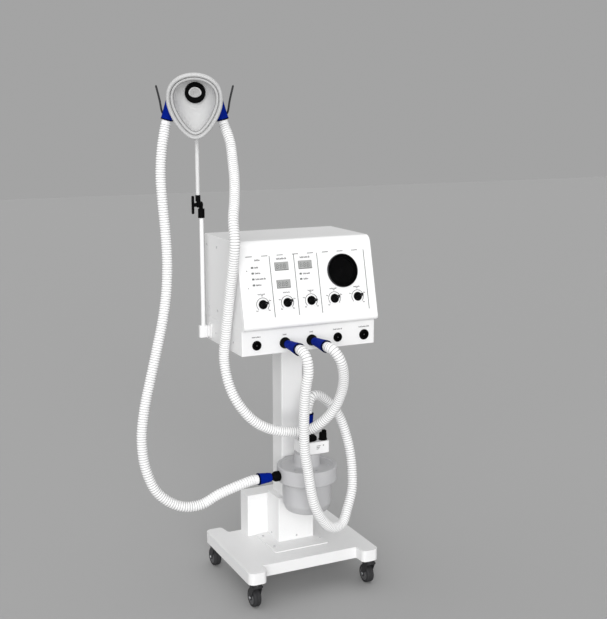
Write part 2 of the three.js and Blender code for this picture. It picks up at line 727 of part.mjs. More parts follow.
// ---------------------------------------------------------------- support arm
const plateOutline = [[203, 672], [238, 672], [234, 690], [227, 709], [197, 709], [198, 690]];
const plateX = -HALF_W - GAP;
add(
  "arm_bracket",
  cut(
    join(
      yzPlate(plateOutline, plateX - 5, plateX),
      plate(roundedRect(-217.5, -196, 203.5, 216.5, 2.5, 2), 674.4, 705.6),
      box(-198, plateX - 4, 206.5, 213.5, 676, 704),
    ),
    rodZ(LOWER_ROD_R + GAP, 681, 720, 14).translate(LOWER_ROD_X, ARM_Y, 0),
  ),
  "white",
);
const lowerRodProfile = [
  [0, 681.3], [LOWER_ROD_R, 681.3], [LOWER_ROD_R, 985.7], [4.5, 985.7], [4.5, 1000], [0, 1000],
];
add("lower_rod", closed(latheZ(lowerRodProfile, 14)).translate(LOWER_ROD_X, ARM_Y, 0), "white");

const ear = { x0: -209.2, x1: -204.2 };
const tongue = { x0: -216.6, x1: -209.6 };
const ROD_TENON_R = 3.2;
function lobe(r, zEnd, halfWidth) {
  const points = [];
  const sign = Math.sign(zEnd - PIVOT_Z);
  for (let i = 0; i <= 8; i++) {
    const a = Math.PI * (i / 8);
    points.push([ARM_Y + r * Math.cos(a), PIVOT_Z - sign * r * Math.sin(a)]);
  }
  points.push([ARM_Y - halfWidth, zEnd], [ARM_Y + halfWidth, zEnd]);
  return points;
}
// The stud is fixed in the lower ear; the tongue and the lever turn on it.
const studHole = [circle(ARM_Y, PIVOT_Z, 3 + GAP, 10)];
const stud = (x0, x1, r, sides) => rod(V(x0, ARM_Y, PIVOT_Z), V(x1, ARM_Y, PIVOT_Z), r, sides);
add(
  "elbow_base",
  join(
    cut(
      rodZ(8.4, 986, 1009, 16).translate(LOWER_ROD_X, ARM_Y, 0),
      rodZ(4.5 + GAP, 980, 1000.3, 12).translate(LOWER_ROD_X, ARM_Y, 0),
    ),
    yzPlate(lobe(8.4, 1004, 8), ear.x0, ear.x1),
    stud(-229, ear.x0 + 1, 3, 10),
    stud(ear.x1 - 0.5, -202.2, 5, 6),
  ),
  "black",
);
add(
  "elbow_tongue",
  join(
    yzPlate(lobe(7.4, 1033, 6), tongue.x0, tongue.x1, studHole),
    cut(
      box(-219, tongue.x1, ARM_Y - 6, ARM_Y + 6, 1028, 1044),
      rodZ(ROD_TENON_R + GAP, 1034, 1050, 12).translate(UPPER_ROD_X, ARM_Y, 0),
    ),
  ),
  "black",
);
add(
  "clamp_lever",
  cut(
    join(
      yzPlate(roundedRect(ARM_Y - 4.5, ARM_Y + 4.5, PIVOT_Z - 23, PIVOT_Z + 23, 3, 2), -230.8, -225.6),
      stud(-226, -217, 5, 12),
    ),
    stud(-229.4, -216, 3 + GAP, 10),
  ),
  "black",
);
add(
  "upper_rod",
  closed(
    latheZ(
      [[0, 1034.3], [ROD_TENON_R, 1034.3], [ROD_TENON_R, 1044.3], [UPPER_ROD_R, 1044.3],
        [UPPER_ROD_R, HUB_Z + 11.7], [0, HUB_Z + 11.7]],
      14,
    ),
  ).translate(UPPER_ROD_X, ARM_Y, 0),
  "pale",
);

// ---------------------------------------------------------------- hanger, Y-piece and its cuffs
const hangerHub = cut(
  join(
    rodZ(10, HUB_Z - 14, HUB_Z + 16, 16).translate(UPPER_ROD_X, ARM_Y, 0),
    rod(headPoint(0, 0, HUB_Z), headPoint(0, 13, HUB_Z), 5, 8),
  ),
  rodZ(UPPER_ROD_R + GAP, HUB_Z - 20, HUB_Z + 12, 14).translate(UPPER_ROD_X, ARM_Y, 0),
);
const prong = (side, foot, tip) =>
  tube(
    [
      headPoint(side * 8, 0, HUB_Z - 8),
      headPoint(side * 38, -1, HUB_Z - 10),
      headPoint(side * 66, 1, HUB_Z - 18),
      headPoint(side * (foot - 4), 8, HUB_Z - 27),
      headPoint(side * foot, 20, HUB_Z - 22),
      headPoint(side * (foot * 0.65 + tip * 0.35), 25, HUB_Z + 5),
      headPoint(side * tip, 28, HUB_Z + 42),
    ],
    2.5,
    14,
    6,
  );
add("hose_hanger", join(hangerHub, prong(-1, 84, 97), prong(1, 79, 93)), "dark");

const wyeCentre = headPoint(0, WYE.f, WYE.z);
const toPlane = PORT_AXIS_O.clone().sub(wyeCentre).dot(MASK_N);
const wyeMid = PORT_AXIS_O.clone().addScaledVector(MASK_N, -toPlane);
function wyeLeg(side, r, extra) {
  const end = headPoint(side * LEG_END.r + LEG_SHIFT, WYE.f, LEG_END.z);
  const low = headPoint(side * CUFF_LOW.r + LEG_SHIFT, WYE.f - 2, CUFF_LOW.z);
  const down = low.clone().sub(end).normalize();
  return tube(
    [
      wyeMid.clone(),
      headPoint(side * 26, WYE.f, WYE.z + 3),
      headPoint(side * 44, WYE.f, WYE.z - 8),
      end.clone().addScaledVector(down, -18),
      end.clone().addScaledVector(down, extra),
    ],
    r,
    7,
    8,
  );
}
const socketLength = toPlane - 36;
const onSocket = (n) => wyeMid.clone().addScaledVector(MASK_N, n);
add(
  "wye_piece",
  cut(
    join(
      rod(onSocket(-14), onSocket(socketLength), 16, 16),
      wyeLeg(-1, 10.5, 0),
      wyeLeg(1, 10.5, 0),
    ),
    rod(onSocket(-10), onSocket(socketLength + 5), 13, 14),
    wyeLeg(-1, 8.5, 3),
    wyeLeg(1, 8.5, 3),
  ),
  "pale",
);
for (const [tag, side] of [["left", -1], ["right", 1]]) {
  const end = headPoint(side * LEG_END.r + LEG_SHIFT, WYE.f, LEG_END.z);
  const low = headPoint(side * CUFF_LOW.r + LEG_SHIFT, WYE.f - 2, CUFF_LOW.z);
  const down = low.clone().sub(end).normalize();
  const start = end.clone().addScaledVector(down, -12);
  const fit = { over: 11.1, overlap: 12 };
  add(`cuff_wye_${tag}`, cuff(start, down, low.distanceTo(start), 13, fit), "blue");
}

// ---------------------------------------------------------------- face mask
// Egg-shaped rim: blunt end up, narrow end down.
function egg(angle, grow = 0) {
  const w = 66 * (1 + 0.28 * Math.cos(angle));
  return [(w + grow) * Math.sin(angle), (81.5 + grow) * Math.cos(angle) - 1.5];
}

// Dome section: share of the way from the rim (0) to the port (1) gives size and depth.
const DOME = [[0, 0], [0.02, -16], [0.16, -32], [0.42, -44], [0.72, -49]];
const PORT_HOLE_R = 25 + 2 * GAP;
function domeRing(share, depth, offset, segments) {
  const ring = [];
  for (let i = 0; i < segments; i++) {
    const a = (2 * Math.PI * i) / segments;
    const [eu, ev] = egg(a, -9 - offset);
    const pu = PORT_HOLE_R * Math.sin(a);
    const pv = MASK_PORT_UP + PORT_HOLE_R * Math.cos(a);
    ring.push(maskPoint(eu + (pu - eu) * share, ev + (pv - ev) * share, depth));
  }
  return ring;
}
// Skin a closed loop of rings into one solid.
function skin(rings) {
  const positions = [];
  const count = rings[0].length;
  const quad = (a, b, c, d) => {
    for (const p of [a, b, c, a, c, d]) positions.push(p.x, p.y, p.z);
  };
  rings.forEach((ring, k) => {
    const next = rings[(k + 1) % rings.length];
    for (let i = 0; i < count; i++) {
      const j = (i + 1) % count;
      quad(ring[i], ring[j], next[j], next[i]);
    }
  });
  const g = new THREE.BufferGeometry();
  g.setAttribute("position", new THREE.Float32BufferAttribute(positions, 3));
  return closed(g);
}
const MASK_SEGMENTS = 24;
const SHELL_T = 2.5;
const outerRings = DOME.map(([share, depth]) => domeRing(share, depth, 0, MASK_SEGMENTS));
outerRings.push(domeRing(1, -50, 0, MASK_SEGMENTS));
const innerRings = DOME.map(([share, depth]) =>
  domeRing(share, depth === 0 ? 0 : depth + SHELL_T, SHELL_T, MASK_SEGMENTS),
);
innerRings.push(domeRing(1, -47, SHELL_T, MASK_SEGMENTS));
innerRings.reverse();
const flangeRing = (grow, n) =>
  Array.from({ length: MASK_SEGMENTS }, (_, i) => {
    const [u, v] = egg((2 * Math.PI * i) / MASK_SEGMENTS, grow);
    return maskPoint(u, v, n);
  });
const lipRings = [flangeRing(-4, 0), flangeRing(-4, -SHELL_T), flangeRing(-9, -SHELL_T)];
add("mask_shell", skin([...lipRings, ...outerRings.slice(1), ...innerRings]), "pale");

// Soft rim cushion: a round section carried round the egg outline.
const CUSHION_R = 8;
const cushionRings = Array.from({ length: 8 }, (_, k) => {
  const a = (2 * Math.PI * k) / 8;
  return flangeRing(-8 + CUSHION_R * Math.cos(a), 8.3 + CUSHION_R * Math.sin(a));
});
add("mask_cushion", skin(cushionRings), "pale");

const portBore = 16 + GAP + 0.1;
const portProfile = [[portBore, -56], [23, -56], [25, -54], [25, -38], [23.5, -35], [portBore, -35]];
add("mask_port", place(closed(ringZ(portProfile, 22)), PORT_AXIS_O, MASK_N), "black");

// ---------------------------------------------------------------- breathing hoses
function hose(name, points, steps) {
  add(name, closed(tube(points.map(([x, y, z]) => V(x, y, z)), HOSE_R, steps, 8)), "white");
}
const leftLow = headPoint(-CUFF_LOW.r + LEG_SHIFT, WYE.f - 2, CUFF_LOW.z);
const rightLow = headPoint(CUFF_LOW.r + LEG_SHIFT, WYE.f - 2, CUFF_LOW.z);
function below(low, side) {
  const end = headPoint(side * LEG_END.r + LEG_SHIFT, WYE.f, LEG_END.z);
  const down = low.clone().sub(end).normalize();
  return [GAP, 12].map((d) => low.clone().addScaledVector(down, d).toArray());
}
hose(
  "hose_inspiratory",
  [
    ...below(leftLow, -1),
    [-307, 208, 1165], [-314, 203, 1098], [-313, 196, 1028], [-310, 189, 957],
    [-311, 178, 886], [-318, 168, 814], [-333, 155, 746], [-354, 142, 676],
    [-378, 130, 598], [-400, 116, 527], [-413, 103, 455], [-408, 90, 380],
    [-382, 79, 318], [-331, 67, 281], [-279, 61, 277], [-229, 56, 299],
    [-173, 50, 317], [-137, HUM.y, SIDE_PORT_Z],
    [sideCuffX - SIDE_CUFF_LENGTH - GAP, HUM.y, SIDE_PORT_Z],
  ],
  34,
);
hose(
  "hose_expiratory",
  [
    ...below(rightLow, 1),
    [-155, 135, 1180], [-160, 107, 1135], [-170, 72, 1090], [-184, 39, 1044],
    [-200, 8, 1000], [-205, -12, 945], [-206, 0, 885], [-206, 20, 825],
    [-206, 50, 724], [-208, 61, 651], [-205, 39, 590], [-189, 20, 543],
    [-150, 8, 494], [-102, 2, 467], [-47, -3, 456], [-11, -12, 458],
    [15, -31, 478], [38, -58, 518], [46, -86, 572], [38, -110, 619],
    [22, -123, 661], [8, -112, 686], [PORT_X[2], -98, PORT_Z],
    [PORT_X[2], CUFF_END_Y - GAP, PORT_Z],
  ],
  40,
);
hose(
  "hose_feed",
  [
    [PORT_X[1], CUFF_END_Y - GAP, PORT_Z],
    [PORT_X[1], -98, PORT_Z], [-66, -116, 674], [-63, -120, 640], [-66, -115, 607],
    [-66, -105, 558], [-63, -95, 508], [-56, -85, 433], [-43, -80, 367],
    [-35, -78, 322], [-20, -74, 273], [6, -66, 231], [38, -54, 203],
    [74, -38, 199], [104, -13, 231], [126, 5, 272], [135, 22, 322],
    [135, 37, 373], [125, 49, 427], [110, 56, 467], [81, 59, 504],
    [56, 58, 523], [34, 54, 525], [21, 50, 506], [topPort.x, topPort.y, 494],
    [topPort.x, topPort.y, cuffTopZ + 42 + GAP],
  ],
  40,
);

root.position.set(-ORIGIN_X, -ORIGIN_Y, 0);

export default root;
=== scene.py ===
"""Looks of a wheeled lung ventilator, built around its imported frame.

Metres throughout. X is right seen from the front, Y is to the back, Z is up, the floor is at 0.
"""
import json
import math

import bmesh
import bpy
import numpy as np
from mathutils import Matrix, Vector


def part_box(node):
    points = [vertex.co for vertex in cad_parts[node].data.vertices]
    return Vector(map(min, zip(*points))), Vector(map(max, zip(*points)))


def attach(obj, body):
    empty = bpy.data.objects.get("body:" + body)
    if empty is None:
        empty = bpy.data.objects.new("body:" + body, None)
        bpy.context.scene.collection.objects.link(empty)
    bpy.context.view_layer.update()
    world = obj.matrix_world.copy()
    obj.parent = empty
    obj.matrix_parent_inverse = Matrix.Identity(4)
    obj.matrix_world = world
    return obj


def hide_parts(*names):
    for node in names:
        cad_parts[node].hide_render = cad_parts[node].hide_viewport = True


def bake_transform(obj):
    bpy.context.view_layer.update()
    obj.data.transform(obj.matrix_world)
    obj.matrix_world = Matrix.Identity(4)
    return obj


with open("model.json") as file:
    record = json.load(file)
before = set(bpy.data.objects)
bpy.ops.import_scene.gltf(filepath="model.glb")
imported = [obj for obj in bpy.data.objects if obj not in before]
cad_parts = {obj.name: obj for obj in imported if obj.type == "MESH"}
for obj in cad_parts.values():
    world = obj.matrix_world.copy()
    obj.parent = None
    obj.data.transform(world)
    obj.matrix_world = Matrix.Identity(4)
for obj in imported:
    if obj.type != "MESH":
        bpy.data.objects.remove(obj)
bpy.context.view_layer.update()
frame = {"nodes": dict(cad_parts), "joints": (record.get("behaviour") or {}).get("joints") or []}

JOINTS = {joint["name"]: joint for joint in frame["joints"]}
NODES = frame["nodes"]
MM = 0.001
UP = Vector((0, 0, 1))
RIGHT_X = Vector((1, 0, 0))
BACK_Y = Vector((0, 1, 0))


# ---- places taken from the frame
def pivot(joint):
    return Vector(JOINTS[joint]["pos_m"])


def axis_of(joint):
    return Vector(JOINTS[joint]["axis"]).normalized()


def centre(node):
    low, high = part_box(node)
    return (low + high) / 2


def basis(x_axis, y_axis, z_axis, origin):
    matrix = Matrix((x_axis, y_axis, z_axis)).transposed().to_4x4()
    matrix.translation = origin
    return matrix


def aim(origin, z_axis, hint=None):
    """A frame whose Z points along z_axis, and whose X is as near to hint as it can be."""
    z = Vector(z_axis).normalized()
    hint = hint or (RIGHT_X if abs(z.x) < 0.8 else BACK_Y)
    y = z.cross(hint).normalized()
    return basis(y.cross(z), y, z, Vector(origin))


# Sloped panel: x across from the housing's middle, s up the face, n out of it.
PANEL_N = axis_of("turn_knob_1")
PANEL_S = PANEL_N.cross(RIGHT_X).normalized()
KNOB_S = 61.5 * MM
HOUSING_X = centre("casing").x
PANEL_O = pivot("turn_knob_3") - PANEL_S * KNOB_S
PANEL_O.x = HOUSING_X


def panel(x, s, n=0.0):
    """Frame on the panel's face at (x, s) in millimetres, n millimetres out of it."""
    origin = PANEL_O + RIGHT_X * x * MM + PANEL_S * s * MM + PANEL_N * n * MM
    return basis(RIGHT_X, PANEL_S, PANEL_N, origin)


# Patient end: r to the right of the mask, f forward, about the upper rod.
MASK_N = axis_of("mask_swivel")
FORWARD = Vector((MASK_N.x, MASK_N.y, 0)).normalized()
RIGHT = UP.cross(FORWARD).normalized()
MASK_V = RIGHT.cross(MASK_N).normalized()
if MASK_V.z < 0:
    MASK_V = -MASK_V
ROD = centre("upper_rod")
MASK_CENTRE_F = 95 * MM
MASK_CENTRE_Z = 1269 * MM
MASK_O = Vector((ROD.x, ROD.y, MASK_CENTRE_Z)) + FORWARD * MASK_CENTRE_F


def head(r, f, z):
    """Point r right, f forward (millimetres) of the upper rod at height z (millimetres)."""
    return Vector((ROD.x, ROD.y, z * MM)) + RIGHT * r * MM + FORWARD * f * MM


def mask_point(u, v, n):
    return MASK_O + RIGHT * u * MM + MASK_V * v * MM + MASK_N * n * MM


# ---- camera, floor and light
CAMERA_AT = Vector((-1.0884, -2.4560, 1.2768))
CAMERA_AZIMUTH = -25.784
CAMERA_DOWN = 11.056
LENS, SENSOR = 61.87, 36
VIEW_END = 50
FLOOR_HALF = 12
FLOOR_GREY, FLOOR_ROUGHNESS = 0.42, 0.9
SKY_GREY = 0.37
# Each light: where it comes from, its strength, and its width in degrees.
SUNS = {
    "key": ((-0.38, -0.90, 0.16), 1.75, 40),
    "front": ((-0.45, -0.89, 0.06), 1.8, 70),
    "top": ((-0.2, 0.1, 1.0), 1.0, 90),
}


def make_camera():
    data = bpy.data.cameras.new("camera")
    data.lens = LENS
    data.sensor_width = SENSOR
    data.clip_end = VIEW_END
    camera = bpy.data.objects.new("camera", data)
    camera.location = CAMERA_AT
    tilt = math.radians(90 - CAMERA_DOWN)
    camera.rotation_euler = (tilt, 0, math.radians(CAMERA_AZIMUTH))
    bpy.context.collection.objects.link(camera)
    bpy.context.scene.camera = camera


def make_floor():
    half = FLOOR_HALF
    mesh = bpy.data.meshes.new("floor")
    corners = [(-half, -half, 0), (half, -half, 0), (half, half, 0), (-half, half, 0)]
    mesh.from_pydata(corners, [], [(0, 1, 2, 3)])
    floor = bpy.data.objects.new("floor", mesh)
    bpy.context.collection.objects.link(floor)
    paint = bpy.data.materials.new("floor")
    paint.use_nodes = True
    shader = paint.node_tree.nodes["Principled BSDF"]
    shader.inputs["Base Color"].default_value = (FLOOR_GREY, FLOOR_GREY, FLOOR_GREY, 1)
    shader.inputs["Roughness"].default_value = FLOOR_ROUGHNESS
    mesh.materials.append(paint)


def make_lights():
    """Wide even lights from the front and above, in a plain grey surround."""
    for name, (toward, strength, width) in SUNS.items():
        data = bpy.data.lights.new(name, "SUN")
        data.energy = strength
        data.angle = math.radians(width)
        sun = bpy.data.objects.new(name, data)
        sun.rotation_euler = (-Vector(toward)).to_track_quat("-Z", "Y").to_euler()
        bpy.context.collection.objects.link(sun)
    world = bpy.data.worlds.new("studio")
    world.use_nodes = True
    background = world.node_tree.nodes["Background"]
    background.inputs["Color"].default_value = (SKY_GREY, SKY_GREY, SKY_GREY, 1)
    background.inputs["Strength"].default_value = 1.0
    bpy.context.scene.world = world
    bpy.context.scene.view_settings.view_transform = "Standard"


# ---- materials
MATERIALS = {}
SOFT_DEPTH = 0.02
RELIEF_DEPTH = 0.0006
# Each look: colour (one number is a grey), roughness, how uneven its colour is, the scale of its
# patches and of its grain, the grain's height, and its shine.
LOOKS = {
    "paint": (0.84, 0.42, 0.03, 14, 1400, 0.10, 0.3),
    "bezel": (0.88, 0.36, 0.02, 14, 2200, 0.06, 0.3),
    "hose": (0.90, 0.38, 0.03, 30, 700, 0.05, 0.3),
    # The grey of the hose's grooves is painted shade for their hollows.
    "hose_groove_shade": (0.50, 0.6, 0.12, 60, 900, 0.05, 0.2),
    "cuff_blue": ((0.0005, 0.013, 0.24), 0.6, 0.25, 40, 1500, 0.08, 0.03),
    # The near-black of the cuff's end ring is painted shade for its shadowed mouth.
    "cuff_mouth_shade": ((0.0005, 0.003, 0.03), 0.6, 0.2, 40, 1500, 0.08, 0.03),
    "black": ((0.003, 0.003, 0.0032), 0.6, 0.25, 60, 2600, 0.16, 0.03),
    "black_gloss": ((0.001, 0.001, 0.0011), 0.5, 0.2, 40, 900, 0.02, 0.02),
    "dial_mark": ((0.005, 0.005, 0.0052), 0.6, 0.2, 60, 1500, 0.04, 0.02),
    "powder": ((0.028, 0.028, 0.03), 0.5, 0.2, 50, 2200, 0.3, 0.3),
    "rubber": ((0.03, 0.03, 0.032), 0.72, 0.3, 55, 1600, 0.25, 0.3),
    "hub": ((0.10, 0.10, 0.105), 0.45, 0.2, 60, 1800, 0.12, 0.5),
    "grey": ((0.53, 0.53, 0.54), 0.45, 0.05, 18, 1500, 0.10, 0.3),
    "jar": ((0.52, 0.52, 0.53), 0.30, 0.04, 14, 1200, 0.04, 0.4),
    "pale": (0.68, 0.42, 0.05, 24, 1400, 0.06, 0.3),
    "bowl": (0.60, 0.5, 0.04, 24, 1400, 0.05, 0.15),
    "silicone": (0.52, 0.5, 0.06, 30, 1100, 0.07, 0.2),
    # The darker grey for the mask rim's lip edge and groove is painted shade for the shadow gaps there.
    "silicone_shade_line": (0.34, 0.6, 0.06, 30, 1100, 0.07, 0.1),
    "steel": ((0.50, 0.51, 0.53), 0.32, 0.1, 60, 2600, 0.1, 0.5),
    "ink": ((0.012, 0.012, 0.013), 0.55, 0.25, 80, 2500, 0.05, 0.1),
    "ink_light": ((0.085, 0.085, 0.09), 0.5, 0.15, 80, 2500, 0.05, 0.1),
    "window": ((0.42, 0.425, 0.42), 0.4, 0.1, 60, 1800, 0.04, 0.2),
    "segments": ((0.13, 0.135, 0.13), 0.4, 0.1, 60, 1800, 0.04, 0.2),
    "lamp": ((0.20, 0.22, 0.20), 0.18, 0.2, 90, 900, 0.02, 0.5),
    "lens": ((0.02, 0.02, 0.021), 0.2, 0.02, 20, 300, 0.005, 0.02),
    "label": ((0.70, 0.71, 0.72), 0.4, 0.05, 50, 1500, 0.05, 0.5),
}
SPECKLE = {"paint": 0.10, "bezel": 0.05, "rubber": 0.3, "grey": 0.08}
SPECIAL = {
    "bowl": {"Subsurface Weight": 0.5}, "silicone": {"Subsurface Weight": 0.2},
    "steel": {"Metallic": 1.0}, "lamp": {"Coat Weight": 0.6}, "lens": {"Alpha": 0.05},
}


def noise(tree, place, scale, detail):
    made = tree.nodes.new("ShaderNodeTexNoise")
    made.inputs["Scale"].default_value = scale
    made.inputs["Detail"].default_value = detail
    tree.links.new(place, made.inputs["Vector"])
    return made


def mix(tree, factor):
    made = tree.nodes.new("ShaderNodeMix")
    made.data_type = "RGBA"
    tree.links.new(factor, made.inputs["Factor"])
    return made


def remap(tree, value, low, high):
    made = tree.nodes.new("ShaderNodeMapRange")
    made.inputs["To Min"].default_value = low
    made.inputs["To Max"].default_value = high
    tree.links.new(value, made.inputs["Value"])
    return made


def make_material(name, color, roughness, shade, patch, grain, bump, shine):
    """Surface with uneven colour, uneven gloss and a moulded or painted grain."""
    rgb = color if isinstance(color, tuple) else (color, color, color)
    made = bpy.data.materials.new(name)
    made.use_nodes = True
    tree = made.node_tree
    link = tree.links.new
    shader = tree.nodes["Principled BSDF"]
    place = tree.nodes.new("ShaderNodeTexCoord").outputs["Object"]

    patches = noise(tree, place, patch, 6)
    patches.inputs["Roughness"].default_value = 0.65
    tint = mix(tree, patches.outputs["Fac"])
    tint.inputs["A"].default_value = (*[c * (1 - shade) for c in rgb], 1)
    tint.inputs["B"].default_value = (*[min(1, c * (1 + shade * 0.5)) for c in rgb], 1)
    colour = tint.outputs["Result"]
    if name in SPECKLE:
        dots = noise(tree, place, grain * 0.6, 2)
        level = remap(tree, dots.outputs["Fac"], 0, SPECKLE[name])
        level.inputs["From Min"].default_value = 0.58
        level.inputs["From Max"].default_value = 0.7
        dirt = mix(tree, level.outputs["Result"])
        dirt.inputs["B"].default_value = (*[c * 0.55 for c in rgb], 1)
        link(colour, dirt.inputs["A"])
        colour = dirt.outputs["Result"]
    link(colour, shader.inputs["Base Color"])

    gloss = remap(tree, patches.outputs["Fac"], max(0.03, roughness - 0.08), min(1, roughness + 0.1))
    link(gloss.outputs["Result"], shader.inputs["Roughness"])
    relief = tree.nodes.new("ShaderNodeBump")
    relief.inputs["Strength"].default_value = bump
    relief.inputs["Distance"].default_value = RELIEF_DEPTH
    link(noise(tree, place, grain, 3).outputs["Fac"], relief.inputs["Height"])
    link(relief.outputs["Normal"], shader.inputs["Normal"])

    shader.inputs["Specular IOR Level"].default_value = shine
    shader.inputs["Coat Roughness"].default_value = 0.12
    shader.inputs["Subsurface Radius"].default_value = (SOFT_DEPTH, SOFT_DEPTH, SOFT_DEPTH)
    shader.inputs["Subsurface Scale"].default_value = 1.0
    for setting, value in SPECIAL.get(name, {}).items():
        shader.inputs[setting].default_value = value
    MATERIALS[name] = made


# ---- mesh building
def fillet(points, radius, steps):
    """Profile with its inner corners rounded. A point may give its own radius as a third number."""
    made = [tuple(points[0][:2])]
    for i in range(1, len(points) - 1):
        before, here, after = (Vector(points[j][:2]) for j in (i - 1, i, i + 1))
        own = points[i][2] if len(points[i]) > 2 else radius
        a, b = before - here, after - here
        turn = a.angle(b, math.pi) if a.length and b.length else math.pi
        if own <= 0 or turn > math.radians(172):
            made.append(tuple(here))
            continue
        cut = min(own / math.tan(turn / 2), a.length * 0.45, b.length * 0.45)
        start, end = here + a.normalized() * cut, here + b.normalized() * cut
        for k in range(steps + 1):
            t = k / steps
            made.append(tuple(start * (1 - t) ** 2 + here * 2 * t * (1 - t) + end * t**2))
    made.append(tuple(points[-1][:2]))
    return made


def lathe(profile, sides):
    """Solid of revolution about Z from (radius, height): ends on the axis, or closes as a ring."""
    rings, verts, faces = [], [], []
    for r, z in profile:
        if abs(r) < 1e-7:
            rings.append([len(verts)])
            verts.append((0, 0, z))
            continue
        rings.append(list(range(len(verts), len(verts) + sides)))
        for k in range(sides):
            a = 2 * math.pi * k / sides
            verts.append((r * math.cos(a), r * math.sin(a), z))
    if len(rings[0]) > 1:
        rings.append(rings[0])
    for low, high in zip(rings, rings[1:]):
        for k in range(sides):
            j = (k + 1) % sides
            if len(low) == 1:
                faces.append((low[0], high[j], high[k]))
            elif len(high) == 1:
                faces.append((low[k], low[j], high[0]))
            else:
                faces.append((low[k], low[j], high[j], high[k]))
    return verts, faces


def turned(points, radius, sides, steps=4):
    """Lathe of a rounded profile given in millimetres. A ring's profile ends where it starts."""
    closed_ring = tuple(points[0][:2]) == tuple(points[-1][:2]) and points[0][0] > 0
    profile = fillet(points, radius, steps)
    if closed_ring:
        profile = profile[:-1]
    return lathe([(r * MM, z * MM) for r, z in profile], sides)


def slab(outline, z0, z1, bevel=0.0, segments=3):
    """Plate from an outline in XY with rounded edges, all in millimetres."""
    bm = bmesh.new()
    bottom = [bm.verts.new((x * MM, y * MM, z0 * MM)) for x, y in outline]
    face = bm.faces.new(bottom)
    made = bmesh.ops.extrude_face_region(bm, geom=[face])
    moved = [v for v in made["geom"] if isinstance(v, bmesh.types.BMVert)]
    bmesh.ops.translate(bm, vec=(0, 0, (z1 - z0) * MM), verts=moved)
    bmesh.ops.recalc_face_normals(bm, faces=bm.faces)
    if bevel:
        sharp = [e for e in bm.edges if e.calc_face_angle(0) > math.radians(40)]
        bmesh.ops.bevel(
            bm, geom=sharp, offset=bevel * MM, segments=segments,
            profile=0.5, affect="EDGES", clamp_overlap=True,
        )
    bm.verts.index_update()
    verts = [tuple(v.co) for v in bm.verts]
    faces = [tuple(v.index for v in f.verts) for f in bm.faces]
    bm.free()
    return verts, faces


def rounded(x0, x1, y0, y1, r, steps=5):
    """Outline of an oblong with rounded corners."""
    corners = ((x1 - r, y1 - r, 0), (x0 + r, y1 - r, 90), (x0 + r, y0 + r, 180), (x1 - r, y0 + r, 270))
    points = []
    for cx, cy, start in corners:
        for k in range(steps + 1):
            a = math.radians(start + 90 * k / steps)
            points.append((cx + r * math.cos(a), cy + r * math.sin(a)))
    return points

def arc_band(r0, r1, start, end, steps):
    """Outline of a flat arc between two radii, angles in degrees."""
    angles = [math.radians(start + (end - start) * k / steps) for k in range(steps + 1)]
    outer = [(r1 * math.cos(a), r1 * math.sin(a)) for a in angles]
    inner = [(r0 * math.cos(a), r0 * math.sin(a)) for a in reversed(angles)]
    return outer + inner


def turn_outline(outline, degrees):
    c, s = math.cos(math.radians(degrees)), math.sin(math.radians(degrees))
    return [(x * c - y * s, x * s + y * c) for x, y in outline]


def spline(points, spacing):
    """Evenly spaced points on a centripetal Catmull-Rom curve through points."""
    pts = [np.array(p, float) for p in points]
    pts = [2 * pts[0] - pts[1], *pts, 2 * pts[-1] - pts[-2]]
    dense = []
    for i in range(1, len(pts) - 2):
        p0, p1, p2, p3 = pts[i - 1 : i + 3]
        d0, d1, d2 = (math.sqrt(np.linalg.norm(b - a)) for a, b in ((p0, p1), (p1, p2), (p2, p3)))
        t1 = ((p1 - p0) / d0 - (p2 - p0) / (d0 + d1) + (p2 - p1) / d1) * d1
        t2 = ((p2 - p1) / d1 - (p3 - p1) / (d1 + d2) + (p3 - p2) / d2) * d1
        for t in np.linspace(0, 1, 60, endpoint=False):
            a = 2 * t**3 - 3 * t**2 + 1
            b = t**3 - 2 * t**2 + t
            dense.append(a * p1 + b * t1 + (1 - a) * p2 + (t**3 - t**2) * t2)
    dense.append(pts[-2])
    dense = np.array(dense)
    along = np.concatenate([[0], np.cumsum(np.linalg.norm(np.diff(dense, axis=0), axis=1))])
    steps = max(2, round(along[-1] / spacing))
    wanted = np.linspace(0, along[-1], steps + 1)
    line = np.stack([np.interp(wanted, along, dense[:, k]) for k in range(3)], axis=1)
    return line, float(along[-1])


def sweep(line, radii, sides, inner=None):
    """Tube along a line with a radius at each point. inner gives a bore, else the ends are capped."""
    tangents = np.gradient(line, axis=0)
    tangents /= np.linalg.norm(tangents, axis=1)[:, None]
    side = np.cross(tangents[0], (0.3, 0.2, 0.9))
    frames = []
    for t in tangents:
        side = side - t * (side @ t)
        side /= np.linalg.norm(side)
        frames.append((side, np.cross(t, side)))
    angles = 2 * np.pi * np.arange(sides) / sides
    cos, sin = np.cos(angles)[:, None], np.sin(angles)[:, None]

    def ring(k, r):
        a, b = frames[k]
        return line[k] + r * (cos * a + sin * b)

    rings = [ring(k, r) for k, r in enumerate(radii)]
    if inner is not None:
        rings += [ring(k, inner[k]) for k in reversed(range(len(line)))]
    return skin(rings, closed=inner is not None)


def skin(rings, closed=True):
    """Surface through a row of rings: the last joins the first, or both ends get a cap."""
    sides = len(rings[0])
    verts = [tuple(p) for ring in rings for p in ring]
    faces = []
    for k in range(len(rings) if closed else len(rings) - 1):
        a, b = k * sides, (k + 1) % len(rings) * sides
        for i in range(sides):
            j = (i + 1) % sides
            faces.append((a + i, a + j, b + j, b + i))
    if not closed:
        faces.append(tuple(range(sides))[::-1])
        faces.append(tuple(range(len(verts) - sides, len(verts))))
    return verts, faces


def ring_of(point, sides):
    """Ring of places, point(angle) for each of the evenly spaced angles."""
    return [point(2 * math.pi * k / sides) for k in range(sides)]


def band(r0, r1, z0, z1, corner):
    """Profile of a flat ring with its outer edges rounded."""
    return [(r0, z0), (r1, z0, corner), (r1, z1, corner), (r0, z1), (r0, z0)]


def upright(x, y, z=0.0):
    return Matrix.Translation((x, y, z))


